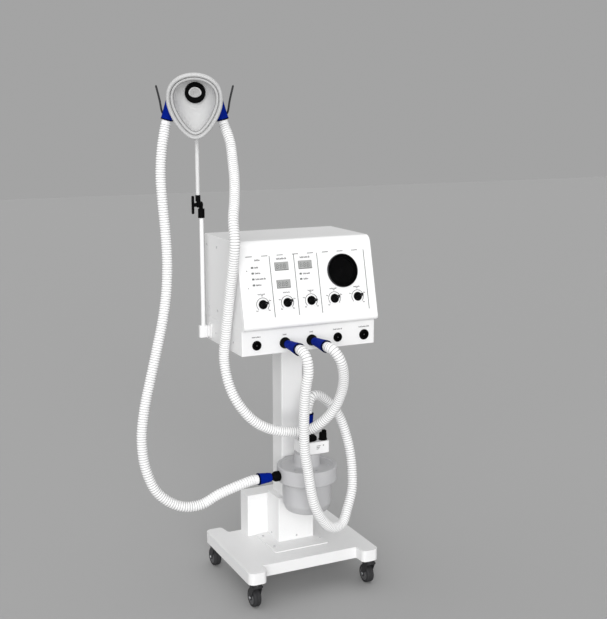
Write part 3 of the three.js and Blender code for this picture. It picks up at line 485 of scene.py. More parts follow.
class Shape:
    """Closed bodies gathered into one piece, each with a material."""

    def __init__(self):
        self.verts, self.faces, self.looks, self.order = [], [], [], []

    def add(self, part, look, matrix=None):
        verts, faces = part
        start = len(self.verts)
        if matrix is not None:
            verts = [tuple(matrix @ Vector(v)) for v in verts]
        if look not in self.order:
            self.order.append(look)
        self.verts.extend(verts)
        self.faces.extend(tuple(start + i for i in f) for f in faces)
        self.looks.extend([self.order.index(look)] * len(faces))
        return self

    def relook(self, look, picked):
        """Give another material to the faces whose numbers are picked."""
        self.order.append(look)
        for i in picked:
            self.looks[i] = len(self.order) - 1

    def build(self, name, body, slot, replaces=(), angle=32):
        mesh = bpy.data.meshes.new(name)
        mesh.from_pydata(self.verts, [], self.faces)
        for look in self.order:
            mesh.materials.append(MATERIALS[look])
        mesh.polygons.foreach_set("material_index", self.looks)
        bm = bmesh.new()
        bm.from_mesh(mesh)
        bmesh.ops.recalc_face_normals(bm, faces=bm.faces)
        bm.to_mesh(mesh)
        bm.free()
        mesh.shade_smooth()
        mesh.set_sharp_from_angle(angle=math.radians(angle))
        obj = bpy.data.objects.new(name, mesh)
        bpy.context.collection.objects.link(obj)
        if body:
            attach(obj, body)
        if replaces:
            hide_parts(*replaces)
        return obj


def keep_node(node, look, bevel=1.0, segments=3):
    """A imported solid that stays: its coplanar faces are merged, its edges rounded and shaded."""
    obj = NODES[node]
    mesh = obj.data
    if mesh.attributes.get("custom_normal"):
        mesh.attributes.remove(mesh.attributes["custom_normal"])
    mesh.materials.clear()
    mesh.materials.append(MATERIALS[look])
    mesh.shade_smooth()
    weld = obj.modifiers.new("weld", "WELD")
    weld.merge_threshold = 2e-5
    merge = obj.modifiers.new("merge", "DECIMATE")
    merge.decimate_type = "DISSOLVE"
    merge.angle_limit = math.radians(1.0)
    if bevel:
        rounding = obj.modifiers.new("edges", "BEVEL")
        rounding.width = bevel * MM
        rounding.segments = segments
        rounding.limit_method = "ANGLE"
        rounding.angle_limit = math.radians(40)
        rounding.use_clamp_overlap = True
    level = obj.modifiers.new("normals", "WEIGHTED_NORMAL")
    level.keep_sharp = True
    level.weight = 60


# ---- small fittings
# Screws as head radius, head height and socket size, in millimetres.
SMALL_SCREW = (2.6, 1.2, 1.2)
CASE_SCREW = (3.2, 1.4, 1.5)
FOOT_SCREW = (2.8, 1.2, 1.3)
FLANGE_SCREW = (3.4, 1.8, 1.6)
AXLE_SCREW = (4.2, 2.0, 1.9)
CAP_SCREW = (2.4, 1.2, 1.1)
HUB_SCREW = (3.4, 3.0, 1.6)


def screw_head(r, height, socket, sides=36):
    """Pan head with a hexagon socket, its seat at Z = 0, in millimetres."""
    turns = [360 * k / sides for k in range(sides)]
    hexagon = [socket / math.cos(math.radians((turn + 30) % 60 - 30)) for turn in turns]
    outlines = [([r] * sides, -0.2), ([r] * sides, height * 0.4), ([r * 0.94] * sides, height * 0.75)]
    outlines += [([r * 0.8] * sides, height), (hexagon, height), (hexagon, height * 0.25)]
    rings = []
    for radii, z in outlines:
        around = zip(radii, map(math.radians, turns))
        rings.append([(reach * MM * math.cos(a), reach * MM * math.sin(a), z * MM) for reach, a in around])
    return skin(rings, closed=False)


def add_screw(shape, size, at, direction, look="grey"):
    shape.add(screw_head(*size), look, aim(at, direction))


def add_ribs(shape, count, r0, r1, half, z0, z1, matrix, corner=0.3, bevel=0.0):
    """Small blocks evenly spaced round an axis, between two radii and two heights."""
    for i in range(count):
        outline = turn_outline(rounded(r0, r1, -half, half, corner, 1), 360 * i / count)
        shape.add(slab(outline, z0, z1, bevel, 1), "black", matrix)


# ---- breathing hoses
HOSE_D = 26 * MM
HOSE_SIDES = 28
RIB_PITCH = 6.2 * MM
RIB_DEPTH = 1.3 * MM
RIB_SHARPNESS = 2.5
# How deep in a groove a face must lie to get the painted groove shade.
GROOVE_SHADE_FROM = 1.25
PLAIN_END, PLAIN_INSET = 9 * MM, 0.8 * MM
# The routes are in the part's own millimetres, and this is where the frame's origin lies in them.
FILE_ORIGIN = Vector((-61.31, 113.5, 0))
HUM = pivot("jar_twist")
WYE_F, WYE_Z = 29, 1311
LEG_SHIFT = -3
LEG_END_R, LEG_END_Z = 57.5, 1276
CUFF_LOW_R, CUFF_LOW_Z = 69, 1232
CUFF_OVERLAP = 12
END_GAP = 0.3

INSPIRATORY = [
    (-307, 208, 1165), (-314, 203, 1098), (-313, 196, 1028), (-310, 189, 957),
    (-311, 178, 886), (-318, 168, 814), (-333, 155, 746), (-354, 142, 676),
    (-378, 130, 598), (-400, 116, 527), (-413, 103, 455), (-408, 90, 380),
    (-382, 79, 318), (-331, 67, 281), (-279, 61, 277), (-229, 56, 299),
    (-173, 50, 317), (-137, 50, 324), (-124.8, 50, 324),
]
EXPIRATORY = [
    (-155, 135, 1180), (-160, 107, 1135), (-170, 72, 1090), (-184, 39, 1044),
    (-200, 8, 1000), (-205, -12, 945), (-206, 0, 885), (-206, 20, 825),
    (-206, 50, 724), (-208, 61, 651), (-205, 39, 590), (-189, 20, 543),
    (-150, 8, 494), (-102, 2, 467), (-47, -3, 456), (-11, -12, 458),
    (15, -31, 478), (38, -58, 518), (46, -86, 572), (38, -110, 619),
    (22, -123, 661), (8, -112, 686), (4, -98, 689), (4, -85.3, 689),
]
FEED = [
    (-70, -85.3, 689), (-70, -98, 689), (-66, -116, 674), (-63, -120, 640),
    (-66, -115, 607), (-66, -105, 558), (-63, -95, 508), (-56, -85, 433),
    (-43, -80, 367), (-35, -78, 322), (-20, -74, 273), (6, -66, 231),
    (38, -54, 203), (74, -38, 199), (104, -13, 231), (126, 5, 272),
    (135, 22, 322), (135, 37, 373), (125, 49, 427), (110, 56, 467),
    (81, 59, 504), (56, 58, 523), (34, 54, 525), (21, 50, 506),
    (18, 50, 494), (18, 50, 483.3),
]


def wye_leg(side):
    """End of a Y-piece leg, its direction, and the low end of its cuff."""
    end = head(side * LEG_END_R + LEG_SHIFT, WYE_F, LEG_END_Z)
    low = head(side * CUFF_LOW_R + LEG_SHIFT, WYE_F - 2, CUFF_LOW_Z)
    return end, (low - end).normalized(), low


def route(points, lead=()):
    """A hose's points in metres: those that start under a cuff, then the listed ones."""
    laid = [(Vector(p) - FILE_ORIGIN) * MM for p in points]
    return [tuple(p) for p in [*lead, *laid]]


def under_cuff(side):
    _, down, low = wye_leg(side)
    return [low + down * END_GAP * MM, low + down * CUFF_OVERLAP * MM]


def make_hose(name, points, bends):
    """Corrugated hose: its radius rises and falls along the line, and both ends are plain."""
    line, length = spline(points, RIB_PITCH / 7)
    along = np.linspace(0, length, len(line))
    groove = (0.5 + 0.5 * np.cos(2 * math.pi * along / RIB_PITCH)) ** RIB_SHARPNESS
    radii = HOSE_D / 2 - RIB_DEPTH * groove
    near_end = np.minimum(along, length - along) < PLAIN_END
    radii[near_end] = HOSE_D / 2 - PLAIN_INSET
    shape = Shape().add(sweep(line, radii, HOSE_SIDES), "hose")
    # Faces deep in the grooves get a darker grey: painted shade for the hose's hollows.
    shaded_groove = (groove[:-1] + groove[1:] > GROOVE_SHADE_FROM) & ~near_end[:-1]
    rings = np.nonzero(shaded_groove)[0]
    shape.relook("hose_groove_shade", [k * HOSE_SIDES + i for k in rings for i in range(HOSE_SIDES)])
    node = f"hose_{name.split('_')[0]}"
    hose = shape.build(name, None if bends else "stand", "hose", [node], angle=85)
    if bends:
        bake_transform(hose)


def make_hoses():
    make_hose("inspiratory_hose", route(INSPIRATORY, under_cuff(-1)), True)
    make_hose("expiratory_hose", route(EXPIRATORY, under_cuff(1)), True)
    make_hose("feed_hose", route(FEED), False)


# ---- cuffs and ports
CUFF_RIM = 3.2
PORT_CUFF_Y = 17.4
HOSE_PORTS = (2, 3)


def make_cuff(node, body, start, direction, length, narrow, spigot=0.0, over=0.0, overlap=0.0):
    """Connector that widens to the hose: it goes into a port by its spigot, or over one."""
    rim_at = length - CUFF_RIM
    outer = [
        (narrow, 0, 0.6), (narrow + 0.1, 2.2, 0.2), (narrow + 0.5, length * 0.16, 1.5),
        (14.9, length * 0.84, 2.0), (15.3, rim_at - 0.2, 0.3), (15.3, rim_at),
    ]
    if spigot:
        entry = [(6.6, -spigot), (8.0, -spigot, 0.4), (8.0, 0)]
        inside = [(9.6, rim_at), (6.6, length * 0.5), (6.6, -spigot)]
    else:
        entry = [(over, 0.2)]
        inside = [(9.6, rim_at), (7.2, overlap + 0.6), (over, overlap + 0.6, 0.2), (over, 0.2)]
    low, high = rim_at, length - 0.2
    rim = [(9.7, low), (15.7, low, 0.4), (15.8, high, 0.9), (9.7, high, 0.4), (9.7, low)]
    matrix = aim(start, direction)
    shape = Shape()
    shape.add(turned([*entry, *outer, *inside], 0.4, 56), "cuff_blue", matrix)
    # The ring at the cuff's mouth is near-black: painted shade for the shadowed inside of the mouth.
    shape.add(turned(rim, 0.5, 56), "cuff_mouth_shade", matrix)
    for share in (0.2, 0.27):
        z, r = length * share, narrow + (15 - narrow) * (share - 0.12) / 0.75
        shape.add(turned(band(r - 1, r + 0.75, z - 0.8, z + 0.8, 0.5), 0.3, 56), "cuff_blue", matrix)
    shape.build(f"{node}_shell", body, "blue_plastic", [node])


def make_cuffs():
    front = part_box("lower_chassis")[0].y
    for k in HOSE_PORTS:
        node = f"cuff_port_{k}"
        middle = centre(node)
        start = Vector((middle.x, front - PORT_CUFF_Y * MM, middle.z))
        make_cuff(node, "stand", start, -BACK_Y, (start.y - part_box(node)[0].y) / MM, 9.8, spigot=9.6)
    for node, direction, narrow, over, overlap in (
        ("cuff_humidifier_side", -RIGHT_X, 11.6, 8.5, 13.2), ("cuff_humidifier_top", UP, 13, 11.3, 14)
    ):
        low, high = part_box(node)
        reach = abs((high - low).dot(direction))
        start = centre(node) - direction * reach / 2
        make_cuff(node, "stand", start, direction, reach / MM, narrow, over=over, overlap=overlap)
    for tag, side in (("left", -1), ("right", 1)):
        end, down, low_end = wye_leg(side)
        start = end - down * CUFF_OVERLAP * MM
        length = (low_end - start).length / MM
        make_cuff(f"cuff_wye_{tag}", "upper_arm", start, down, length, 13, over=11.3, overlap=CUFF_OVERLAP)


def hose_port(flange):
    """Section of a port whose tube goes into a cuff."""
    return [
        (8.5, -12), (9.0, -12), (9.0, 0.3), (flange, 0.3, 0.4), (flange, 4.4, 1.0), (12.7, 6.4, 1.0),
        (12.4, 8.5, 0.8), (10.8, 16.4, 0.5), (10.4, 17, 0.3), (8.6, 17, 0.3), (8.5, -12),
    ]


def free_port(flange, tube):
    return [
        (8.5, -12), (9.0, -12), (9.0, 0.3), (flange, 0.3, 0.4), (flange, 2.2, 0.8), (flange - 0.8, 3.0),
        (tube, 3.2, 0.3), (tube, 4.4), (tube - 0.6, 5, 0.3), (8.7, 5, 0.4), (8.5, -12),
    ]


def make_ports():
    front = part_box("lower_chassis")[0].y
    plug = [(0, -6), (8.3, -6), (8.3, -4.5, 0.4), (5.5, -4.0), (3.2, -2.2, 0.5), (2.6, 2.2, 0.8), (0, 2.6)]
    pin = [(0, 2.5), (1.3, 2.6, 0.2), (1.1, 3.0, 0.2), (0, 3.1)]
    for k in range(1, 6):
        node = f"port_{k}"
        low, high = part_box(node)
        flange = (high.z - low.z) / 2 / MM
        matrix = aim((centre(node).x, front, centre(node).z), -BACK_Y)
        shape = Shape()
        if k in HOSE_PORTS:
            shape.add(turned(hose_port(flange), 0.3, 48), "black", matrix)
        else:
            tube = 12.0 if k == 5 else 11.0
            shape.add(turned(free_port(flange, tube), 0.3, 48), "black", matrix)
            shape.add(turned(plug, 0.4, 36), "black", matrix)
            shape.add(turned(pin, 0.2, 20), "hub", matrix)
        add_ribs(shape, 24, flange - 0.35, flange + 0.25, 0.5, 0.8, 2.0, matrix, corner=0.2)
        shape.build(f"{node}_fitting", "stand", "black_plastic", [node])


# ---- front panel
KNOB_X = [(pivot(f"turn_knob_{k}").x - HOUSING_X) / MM for k in range(1, 6)]
# How far each knob is turned from upright, in degrees.
KNOB_TURN = [-70, -62, -90, -58, -60]
PRINT_LOW, PRINT_HIGH = -0.1, 0.22
BORDER_X0, BORDER_X1 = -164, 162
BORDER_S0, BORDER_S1 = 28, 180
DASH, DASH_STEP = 17, 41.6
LINE_HALF = 0.8
DIVIDERS = (-101, -35, 29)
LAMP_ROWS = {-149: (153, 139, 124.6, 110), -20.5: (130, 117)}
WINDOWS = ((-70, 152), (-69, 108), (-5.5, 152))
WINDOW_W, WINDOW_H = 38, 21
GLASS = -1.0
DIAL_R, DIAL_HALF = 16.5, 0.65
DIAL_START, DIAL_SWEEP = -42, 264
FIGURE_R = 22


def make_knobs():
    skirt = [(0, 0.6), (11.2, 0.6, 0.3), (11.2, 2.4, 0.8), (9.8, 4.4, 1.2), (7.0, 5.6, 0.8), (0, 5.6)]
    grip = [(-3.6, -8.5), (-4.1, 0), (-3.0, 9.5), (0, 11.6), (3.0, 9.5), (4.1, 0), (3.6, -8.5), (0, -9.6)]
    for k, (x, turn) in enumerate(zip(KNOB_X, KNOB_TURN), start=1):
        matrix = panel(x, KNOB_S / MM) @ Matrix.Rotation(math.radians(turn), 4, "Z")
        shape = Shape()
        shape.add(turned(skirt, 0.4, 56), "black", matrix)
        shape.add(slab(grip, 4.6, 15.6, 1.2, 4), "black", matrix)
        add_ribs(shape, 28, 10.6, 11.6, 0.45, 0.8, 2.2, matrix)
        shape.add(slab(rounded(-0.55, 0.55, 1.0, 10.4, 0.4, 2), 15.4, 15.85, 0.1, 1), "hub", matrix)
        shape.build(f"knob_{k}_pointer", f"knob_body_{k}", "black_plastic", [f"knob_{k}"])


def oblong(x0, x1, y0, y1):
    return [(x0, y0), (x1, y0), (x1, y1), (x0, y1)]


def strip(shape, look, x0, x1, s0, s1, at=None, high=PRINT_HIGH):
    """Printed oblong on the front panel, or in the frame at."""
    shape.add(slab(oblong(x0, x1, s0, s1), PRINT_LOW, high), look, panel(0, 0) if at is None else at)


def bars(x0, x1):
    """Ends and heights of the short upright bars that stand for one line of print."""
    widths = (0.9, 0.7, 1.3, 0.7, 1.0, 0.8, 1.4)
    rises = (1.0, 0.7, 0.7, 1.0, 0.75)
    found, x = [], x0
    while x < x1 - 0.5:
        i = len(found)
        w = widths[i % len(widths)]
        found.append((x, x + w, rises[i % len(rises)]))
        x += w + (1.6 if i % 6 == 5 else 0.75)
    return found


def word(shape, x0, x1, s, height, at=None, high=PRINT_HIGH):
    low = s - height / 2
    for a, b, rise in bars(x0, x1):
        strip(shape, "ink", a, b, low, low + height * rise, at, high)


def dial_marks(shape, x, s, k):
    """Printed ring round a knob, with blocks where its figures would stand."""
    at = panel(x, s)
    ring = arc_band(DIAL_R - DIAL_HALF, DIAL_R + DIAL_HALF, DIAL_START, DIAL_START + DIAL_SWEEP, 44)
    shape.add(slab(ring, PRINT_LOW, PRINT_HIGH - 0.06), "ink_light", at)
    for i in range(13):
        long = 2.4 if i % 3 == 0 else 1.3
        tick = turn_outline(oblong(DIAL_R, DIAL_R + long, -0.3, 0.3), DIAL_START + DIAL_SWEEP * i / 12)
        shape.add(slab(tick, PRINT_LOW, PRINT_HIGH), "ink_light", at)
    for i in range(5):
        if (i + k) % 5 == 3:
            continue
        a = math.radians(DIAL_START + DIAL_SWEEP * i / 4)
        cx, cy = x + FIGURE_R * math.cos(a), s + FIGURE_R * math.sin(a)
        word(shape, cx - 2.2, cx + 2.6, cy, 3.4)
    word(shape, x - 11 + 2 * (k % 3), x + 9, s + 25.5, 3.4)


def make_panel_print():
    """Dashed border, dividing lines, titles, lamp names and dials."""
    shape = Shape()
    for k in range(8):
        dash = BORDER_X0 + DASH_STEP * k
        end = min(dash + DASH, BORDER_X1)
        strip(shape, "ink", dash, end, BORDER_S1 - LINE_HALF, BORDER_S1 + LINE_HALF)
    strip(shape, "ink_light", BORDER_X1 - LINE_HALF, BORDER_X1 + LINE_HALF, BORDER_S0, BORDER_S1)
    for x in DIVIDERS:
        strip(shape, "ink_light", x - LINE_HALF, x + LINE_HALF, BORDER_S0, BORDER_S1 - LINE_HALF)
    for x, width in ((-134, 15), (-69.5, 27), (-5, 27)):
        word(shape, x - width / 2, x + width / 2, 171, 5.0)
    for x, s, width in (
        (-143, 153, 10), (-143, 139, 14), (-143, 124.6, 27), (-143, 110, 15), (-14, 130, 19), (-14, 117, 12)
    ):
        word(shape, x, x + width, s, 4.6)
    for k, x in enumerate(KNOB_X):
        dial_marks(shape, x, KNOB_S / MM, k)
    shape.build("panel_print", "stand", "black_plastic")


def make_lamps():
    lamps = Shape()
    for x, rows in LAMP_ROWS.items():
        for s in rows:
            at = panel(x, s)
            lamps.add(slab(rounded(-3.2, 3.2, -2.3, 2.3, 0.8, 3), -0.1, 0.5, 0.15, 1), "ink_light", at)
            lamps.add(slab(rounded(-2.2, 2.2, -1.4, 1.4, 0.5, 3), 0.3, 0.9, 0.3, 2), "lamp", at)
    lamps.build("panel_lamps", "stand", "black_plastic")
    pins = Shape()
    pin = [(0, -0.1), (1.2, -0.1), (1.2, 0.5, 0.3), (0, 0.7)]
    for s in (145.5, 103):
        pins.add(turned(pin, 0.2, 18), "ink", panel(BORDER_X0, s))
    pins.build("panel_pins", "stand", "black_plastic")


def make_manifold_print():
    """A line of print over each port."""
    shape = Shape()
    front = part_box("lower_chassis")[0].y
    row = centre("port_3").z + 21 * MM
    for k, half in enumerate((12, 5, 5, 13, 15), start=1):
        at = basis(RIGHT_X, UP, -BACK_Y, Vector((centre(f"port_{k}").x, front, row)))
        word(shape, -half, half, 0, 3.4, at, 0.2)
    shape.build("manifold_print", "stand", "black_plastic")


def digit(x, s, scale):
    """Outlines of the seven unlit segments of one figure, its lower left corner at (x, s)."""
    tip = [(0.5, 0), (2.7, 0), (3.2, 0.5), (2.7, 1.0), (0.5, 1.0), (0, 0.5)]
    for ds in (0, 4.2, 8.4):
        yield [(x + px * scale, s + (ds + py) * scale) for px, py in tip]
    for dx, ds in ((-0.2, 0.6), (4.2, 0.6), (-0.2, 4.8), (4.2, 4.8)):
        yield [(x + (dx + py - 0.5) * scale, s + (ds + px * 1.05) * scale) for px, py in tip]


def make_windows():
    half_w, half_h = WINDOW_W / 2, WINDOW_H / 2
    for k, (x, s) in enumerate(WINDOWS, start=1):
        shape = Shape()
        pane = rounded(x - half_w + 0.3, x + half_w - 0.3, s - half_h + 0.3, s + half_h - 0.3, 0.6, 2)
        shape.add(slab(pane, -3.0, GLASS + 0.35, 0.15, 2), "window", panel(0, 0))
        left, low = x - half_w + 0.4, s - half_h + 0.4
        marks = [(oblong(left, left + 1.3, low, low + 20), 0.5)]
        marks += [(oblong(left, left + 37, low, low + 1.3), 0.5)]
        for i in range(3):
            marks += [(segment, 0.55) for segment in digit(x - 13.5 + i * 9.6, s - 5.6, 1.2)]
        for i in range(1, 9):
            row = s - half_h + i * WINDOW_H / 9
            marks.append((oblong(x - 17.5, x + 17.5, row - 0.12, row + 0.12), 0.45))
        for outline, rise in marks:
            shape.add(slab(outline, GLASS + 0.3, GLASS + rise), "segments", panel(0, 0))
        shape.build(f"display_window_{k}", "stand", "board")


# ---- pressure gauge
GAUGE = basis(RIGHT_X, PANEL_S, PANEL_N, pivot("needle_sweep"))
SCALE_START, SCALE_SWEEP = 225, 270
FACE_LOW = -8.05


def make_gauge_case():
    body = [
        (0, -20), (38, -20, 0.5), (38, 0.3, 0.2), (42.4, 0.3, 0.5), (42.4, 4.0, 1.6), (40.8, 5.5, 1.0),
        (38.4, 5.5, 0.6), (37.2, 4.6), (37.0, 0.7, 0.2), (34, 0.7, 0.2), (34, -8, 0.4),
        (2.0, -8), (1.5, -7.6), (1.5, -3.6, 0.2), (0, -3.6),
    ]
    rim = [
        (42.3, 0.5), (42.7, 0.6, 0.1), (42.7, 3.6, 0.3), (41.2, 5.4, 0.3), (40.6, 5.3), (42.3, 3.4),
        (42.3, 0.5),
    ]
    shape = Shape().add(turned(body, 0.4, 96), "black_gloss", GAUGE)
    shape.add(turned(rim, 0.2, 96), "powder", GAUGE)
    for i in range(51):
        major = i % 5 == 0
        length, half = (4.4, 0.45) if major else (2.4, 0.22)
        tick = oblong(32.6 - length, 32.6, -half, half)
        tick = turn_outline(tick, SCALE_START - SCALE_SWEEP * i / 50)
        shape.add(slab(tick, FACE_LOW, -7.8), "dial_mark", GAUGE)
    shape.add(slab(arc_band(27.2, 27.6, -45, 225, 60), FACE_LOW, -7.85), "dial_mark", GAUGE)
    shape.build("gauge_case", "stand", "black_plastic", ["gauge_body"])


def make_gauge_needle():
    turn = GAUGE @ Matrix.Rotation(math.radians(135), 4, "Z")
    blade = [(-0.5, 27), (0, 29.5), (0.5, 27), (1.1, 3.4), (1.1, 2.2), (-1.1, 2.2), (-1.1, 3.4)]
    tail = [(-1.7, -9), (1.7, -9), (1.0, -2.2), (-1.0, -2.2)]
    hub = [(1.9, -6.5), (3.6, -6.5), (3.6, -5.2, 0.4), (1.9, -5.2, 0.2), (1.9, -6.5)]
    needle = Shape()
    for outline in (blade, tail):
        needle.add(slab(outline, -6.4, -5.7, 0.15, 1), "dial_mark", turn)
    needle.add(turned(hub, 0.2, 32), "dial_mark", turn)
    needle.build("gauge_pointer", "needle", "black_plastic", ["gauge_needle"])


def make_gauge_lens():
    glass = [(0, 1.0), (36.5, 1.0, 0.3), (36.5, 2.4, 0.5), (20, 3.3), (0, 3.6)]
    lens = Shape().add(turned(glass, 0.3, 96), "lens", GAUGE)
    lens.build("gauge_glass", "stand", "clear", ["gauge_lens"])


# ---- housing and stand
def make_housing():
    keep_node("front_bezel", "bezel", 0.8)
    keep_node("casing", "paint", 0.9)
    keep_node("lower_chassis", "paint", 0.9)
    keep_node("rear_cover", "paint", 0.5, 2)
    keep_node("display_board", "window", 0.0)
    keep_node("blower", "powder", 0.8)
    keep_node("power_inlet", "black", 0.5, 2)
    keep_node("power_switch", "black", 0.8, 2)


def make_housing_screws():
    shape = Shape()
    low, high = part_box("casing")
    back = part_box("rear_cover")[1].y
    bottom, top = low.z + 24.2 * MM, high.z - 27 * MM
    chassis_low, chassis_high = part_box("lower_chassis")
    for x, direction in ((low.x, -RIGHT_X), (high.x, RIGHT_X)):
        for from_back, z in ((86.5, bottom), (26.5, bottom), (86.5, top), (16.5, top)):
            add_screw(shape, CASE_SCREW, (x, high.y - from_back * MM, z), direction)
        for y in (chassis_low.y + 53.5 * MM, chassis_high.y - 71.5 * MM):
            add_screw(shape, SMALL_SCREW, (x, y, chassis_low.z + 26 * MM), direction)
    for x in (low.x + 12 * MM, high.x - 12 * MM):
        for z in (low.z + 9 * MM, high.z - 12 * MM, (low.z + high.z) / 2):
            add_screw(shape, SMALL_SCREW, (x, back, z), BACK_Y)
    shape.build("housing_screws", "stand", "dark_metal")


def make_rating_plate():
    """Blank plate on the back with rows of bars for its print."""
    back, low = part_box("rear_cover")[1].y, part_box("casing")[0].z
    at = basis(-RIGHT_X, UP, BACK_Y, Vector((HOUSING_X + 95 * MM, back, low + 130 * MM)))
    plate = Shape().add(slab(rounded(-38, 38, -22, 22, 2, 3), -0.1, 0.5, 0.15, 1), "label", at)
    for i in range(7):
        row, width = 15 - i * 5, 62 - 9 * (i % 3)
        plate.add(slab(oblong(-32, -32 + width, row, row + 1.3), 0.4, 0.62), "ink_light", at)
    plate.build("rating_plate", "stand", "white_plastic")


def make_stand():
    keep_node("base_plate", "paint", 2.4, 4)
    keep_node("column", "paint", 1.0)
    keep_node("column_foot", "paint", 0.9)
    keep_node("battery_box", "paint", 1.4)
    keep_node("battery_pack", "powder", 1.0)
    low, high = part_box("column_foot")
    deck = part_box("base_plate")[1].z
    shape = Shape()
    add_screw(shape, FOOT_SCREW, (HUM.x + 6 * MM, low.y + 58 * MM, deck + 14 * MM), -BACK_Y)
    add_screw(shape, FOOT_SCREW, (low.x + 35 * MM, high.y - 28.5 * MM, deck + 14 * MM), -RIGHT_X)
    for x in (low.x + 12 * MM, high.x - 9 * MM):
        for y in (low.y + 36 * MM, high.y - 20 * MM):
            add_screw(shape, FLANGE_SCREW, (x, y, deck + 3.3 * MM), UP)
    shape.build("stand_screws", "stand", "dark_metal")

    low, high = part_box("battery_box")
    height = (high.z - low.z) / MM
    panel_outline = rounded(9, 49, 7, height - 12, 2.5, 4)
    door = Shape().add(slab(panel_outline, -0.2, 0.9, 0.4, 2), "paint", basis(RIGHT_X, UP, -BACK_Y, low))
    door.build("battery_door", "stand", "white_shell")


# ---- casters
def both_sides(half_section):
    """Ring section from one side's points and the same points mirrored to the other side."""
    mirrored = [(r, -z, *corner) for r, z, *corner in reversed(half_section)]
    return [*half_section, *mirrored, half_section[0]]


def tyre_section(radius, half):
    return both_sides([
        (radius - 7, -half + 0.6, 0.4), (radius - 4, -half, 1.2), (radius - 1.2, -half + 1.4, 1.6),
        (radius, -half + 4.2, 1.0), (radius - 0.05, -1.5), (radius - 0.9, -0.9, 0.2),
    ])


def hub_section(radius, half):
    return both_sides([
        (3.4, -half + 0.2, 0.3), (7.2, -half + 0.2, 0.6), (8.0, -half + 2.4, 0.8),
        (radius - 9, -half + 2.4, 0.6), (radius - 7.6, -half + 0.9, 0.4), (radius - 6.9, -half + 0.9),
    ])


def make_wheel(tag, hub, half):
    radius = hub.z / MM
    matrix = aim(hub, RIGHT_X)
    shape = Shape()
    shape.add(turned(tyre_section(radius, half), 0.4, 64), "rubber", matrix)
    shape.add(turned(hub_section(radius, half), 0.4, 48), "hub", matrix)
    for i in range(5):
        spoke = turn_outline(rounded(7.4, radius - 8.2, -1.1, 1.1, 0.5, 2), 72 * i)
        for middle in (-(half - 2.5), half - 2.5):
            shape.add(slab(spoke, middle - 0.6, middle + 0.9, 0.25, 1), "hub", matrix)
    shape.build(f"wheel_{tag}_tyre", f"wheel_{tag}", "tyre", [f"caster_wheel_{tag}"])


def make_fork(tag, hub, half):
    """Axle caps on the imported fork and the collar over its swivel."""
    keep_node(f"caster_fork_{tag}", "powder", 0.5, 2)
    caps = Shape()
    low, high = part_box(f"caster_fork_{tag}")
    for x, direction in ((low.x, -RIGHT_X), (high.x, RIGHT_X)):
        offset = min(abs(x - hub.x) / MM, half + 2.8)
        add_screw(caps, AXLE_SCREW, hub + direction * offset * MM, direction, "steel")
    swivel = pivot(f"swivel_{tag}")
    collar = [
        (5.4, 60), (13.4, 60), (14.2, 61.2, 0.6), (14.2, 66.5, 0.8), (12.0, 69.8, 0.8), (5.4, 69.8),
        (5.4, 60),
    ]
    caps.add(turned(collar, 0.5, 40), "powder", upright(swivel.x, swivel.y))
    caps.build(f"fork_{tag}_bolts", f"fork_{tag}", "dark_metal")


def make_casters():
    for tag in ("fl", "fr", "rl", "rr"):
        low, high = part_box(f"caster_wheel_{tag}")
        hub, half = pivot(f"roll_{tag}"), (high.x - low.x) / 2 / MM
        make_wheel(tag, hub, half)
        make_fork(tag, hub, half)


# ---- humidifier
HEAD_HIGH = 40
NECK_R = 34.5
CAP_SCREW_R = 56


def make_humidifier_cap():
    """Head ring with its neck, and the bracket that reaches back to the column."""
    axis = upright(HUM.x, HUM.y)
    low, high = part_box("humidifier_head")
    r, z0, neck_top = (HUM.x - low.x) / MM, low.z / MM, high.z / MM
    z1 = z0 + HEAD_HIGH
    jar_low, jar_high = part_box("humidifier_jar")
    inner = (jar_high.x - jar_low.x) / 2 / MM - 6
    profile = [
        (0, z0 + 8), (inner, z0 + 8, 0.4), (inner, z0, 0.4), (r - 2, z0, 1.5), (r, z0 + 2.4, 1.2),
        (r, z0 + 8.0, 0.2), (r - 0.5, z0 + 8.5), (r, z0 + 9.0, 0.2), (r, z1 - 1.2, 0.8), (r - 1.2, z1, 0.8),
        (r - 10, z1, 0.8), (r - 12, z1 - 1.6, 0.8), (NECK_R + 12, z1 - 1.6, 1), (NECK_R + 2, z1 - 0.4, 1),
        (NECK_R, z1 + 1.2, 1), (NECK_R, neck_top, 0.6), (0, neck_top),
    ]
    shape = Shape().add(turned(profile, 0.6, 96, 5), "grey", axis)
    reach = (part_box("column")[0].y - HUM.y) / MM - 0.3
    shape.add(slab(rounded(-24, 24, 60, reach, 1.5, 2), z0 + 4, z1 - 4, 0.8, 2), "grey", axis)
    for degrees in (-150, -90, -30):
        a = math.radians(degrees)
        x, y = HUM.x + CAP_SCREW_R * MM * math.cos(a), HUM.y + CAP_SCREW_R * MM * math.sin(a)
        add_screw(shape, CAP_SCREW, (x, y, (z1 - 1.6) * MM), UP, "steel")
    shape.build("humidifier_cap", "stand", "grey_plastic", ["humidifier_head"])


def make_humidifier_jar():
    low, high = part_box("humidifier_jar")
    r, z0, top = (high.x - low.x) / 2 / MM, low.z / MM, high.z / MM
    wall = [
        (0, z0), (r - 24, z0, 4), (r - 8, z0 + 7, 12), (r, z0 + 26, 14), (r, top - 12, 0.3),
        (r + 0.6, top - 11.4, 0.3), (r + 0.6, top - 7, 0.3), (r, top - 6.4, 0.3), (r, top, 0.4),
        (r - 3, top, 0.4), (r - 3, z0 + 27, 12), (r - 10, z0 + 11, 10), (r - 25, z0 + 3, 4), (0, z0 + 3),
    ]
    axis = upright(HUM.x, HUM.y)
    shape = Shape().add(turned(wall, 0.5, 96, 8), "jar", axis)
    shape.add(slab(arc_band(34, 40, 235, 285, 10), z0 - 0.2, z0 + 3.0, 0.3, 1), "jar", axis)
    shape.build("humidifier_bowl", "jar", "grey_plastic", ["humidifier_jar"])


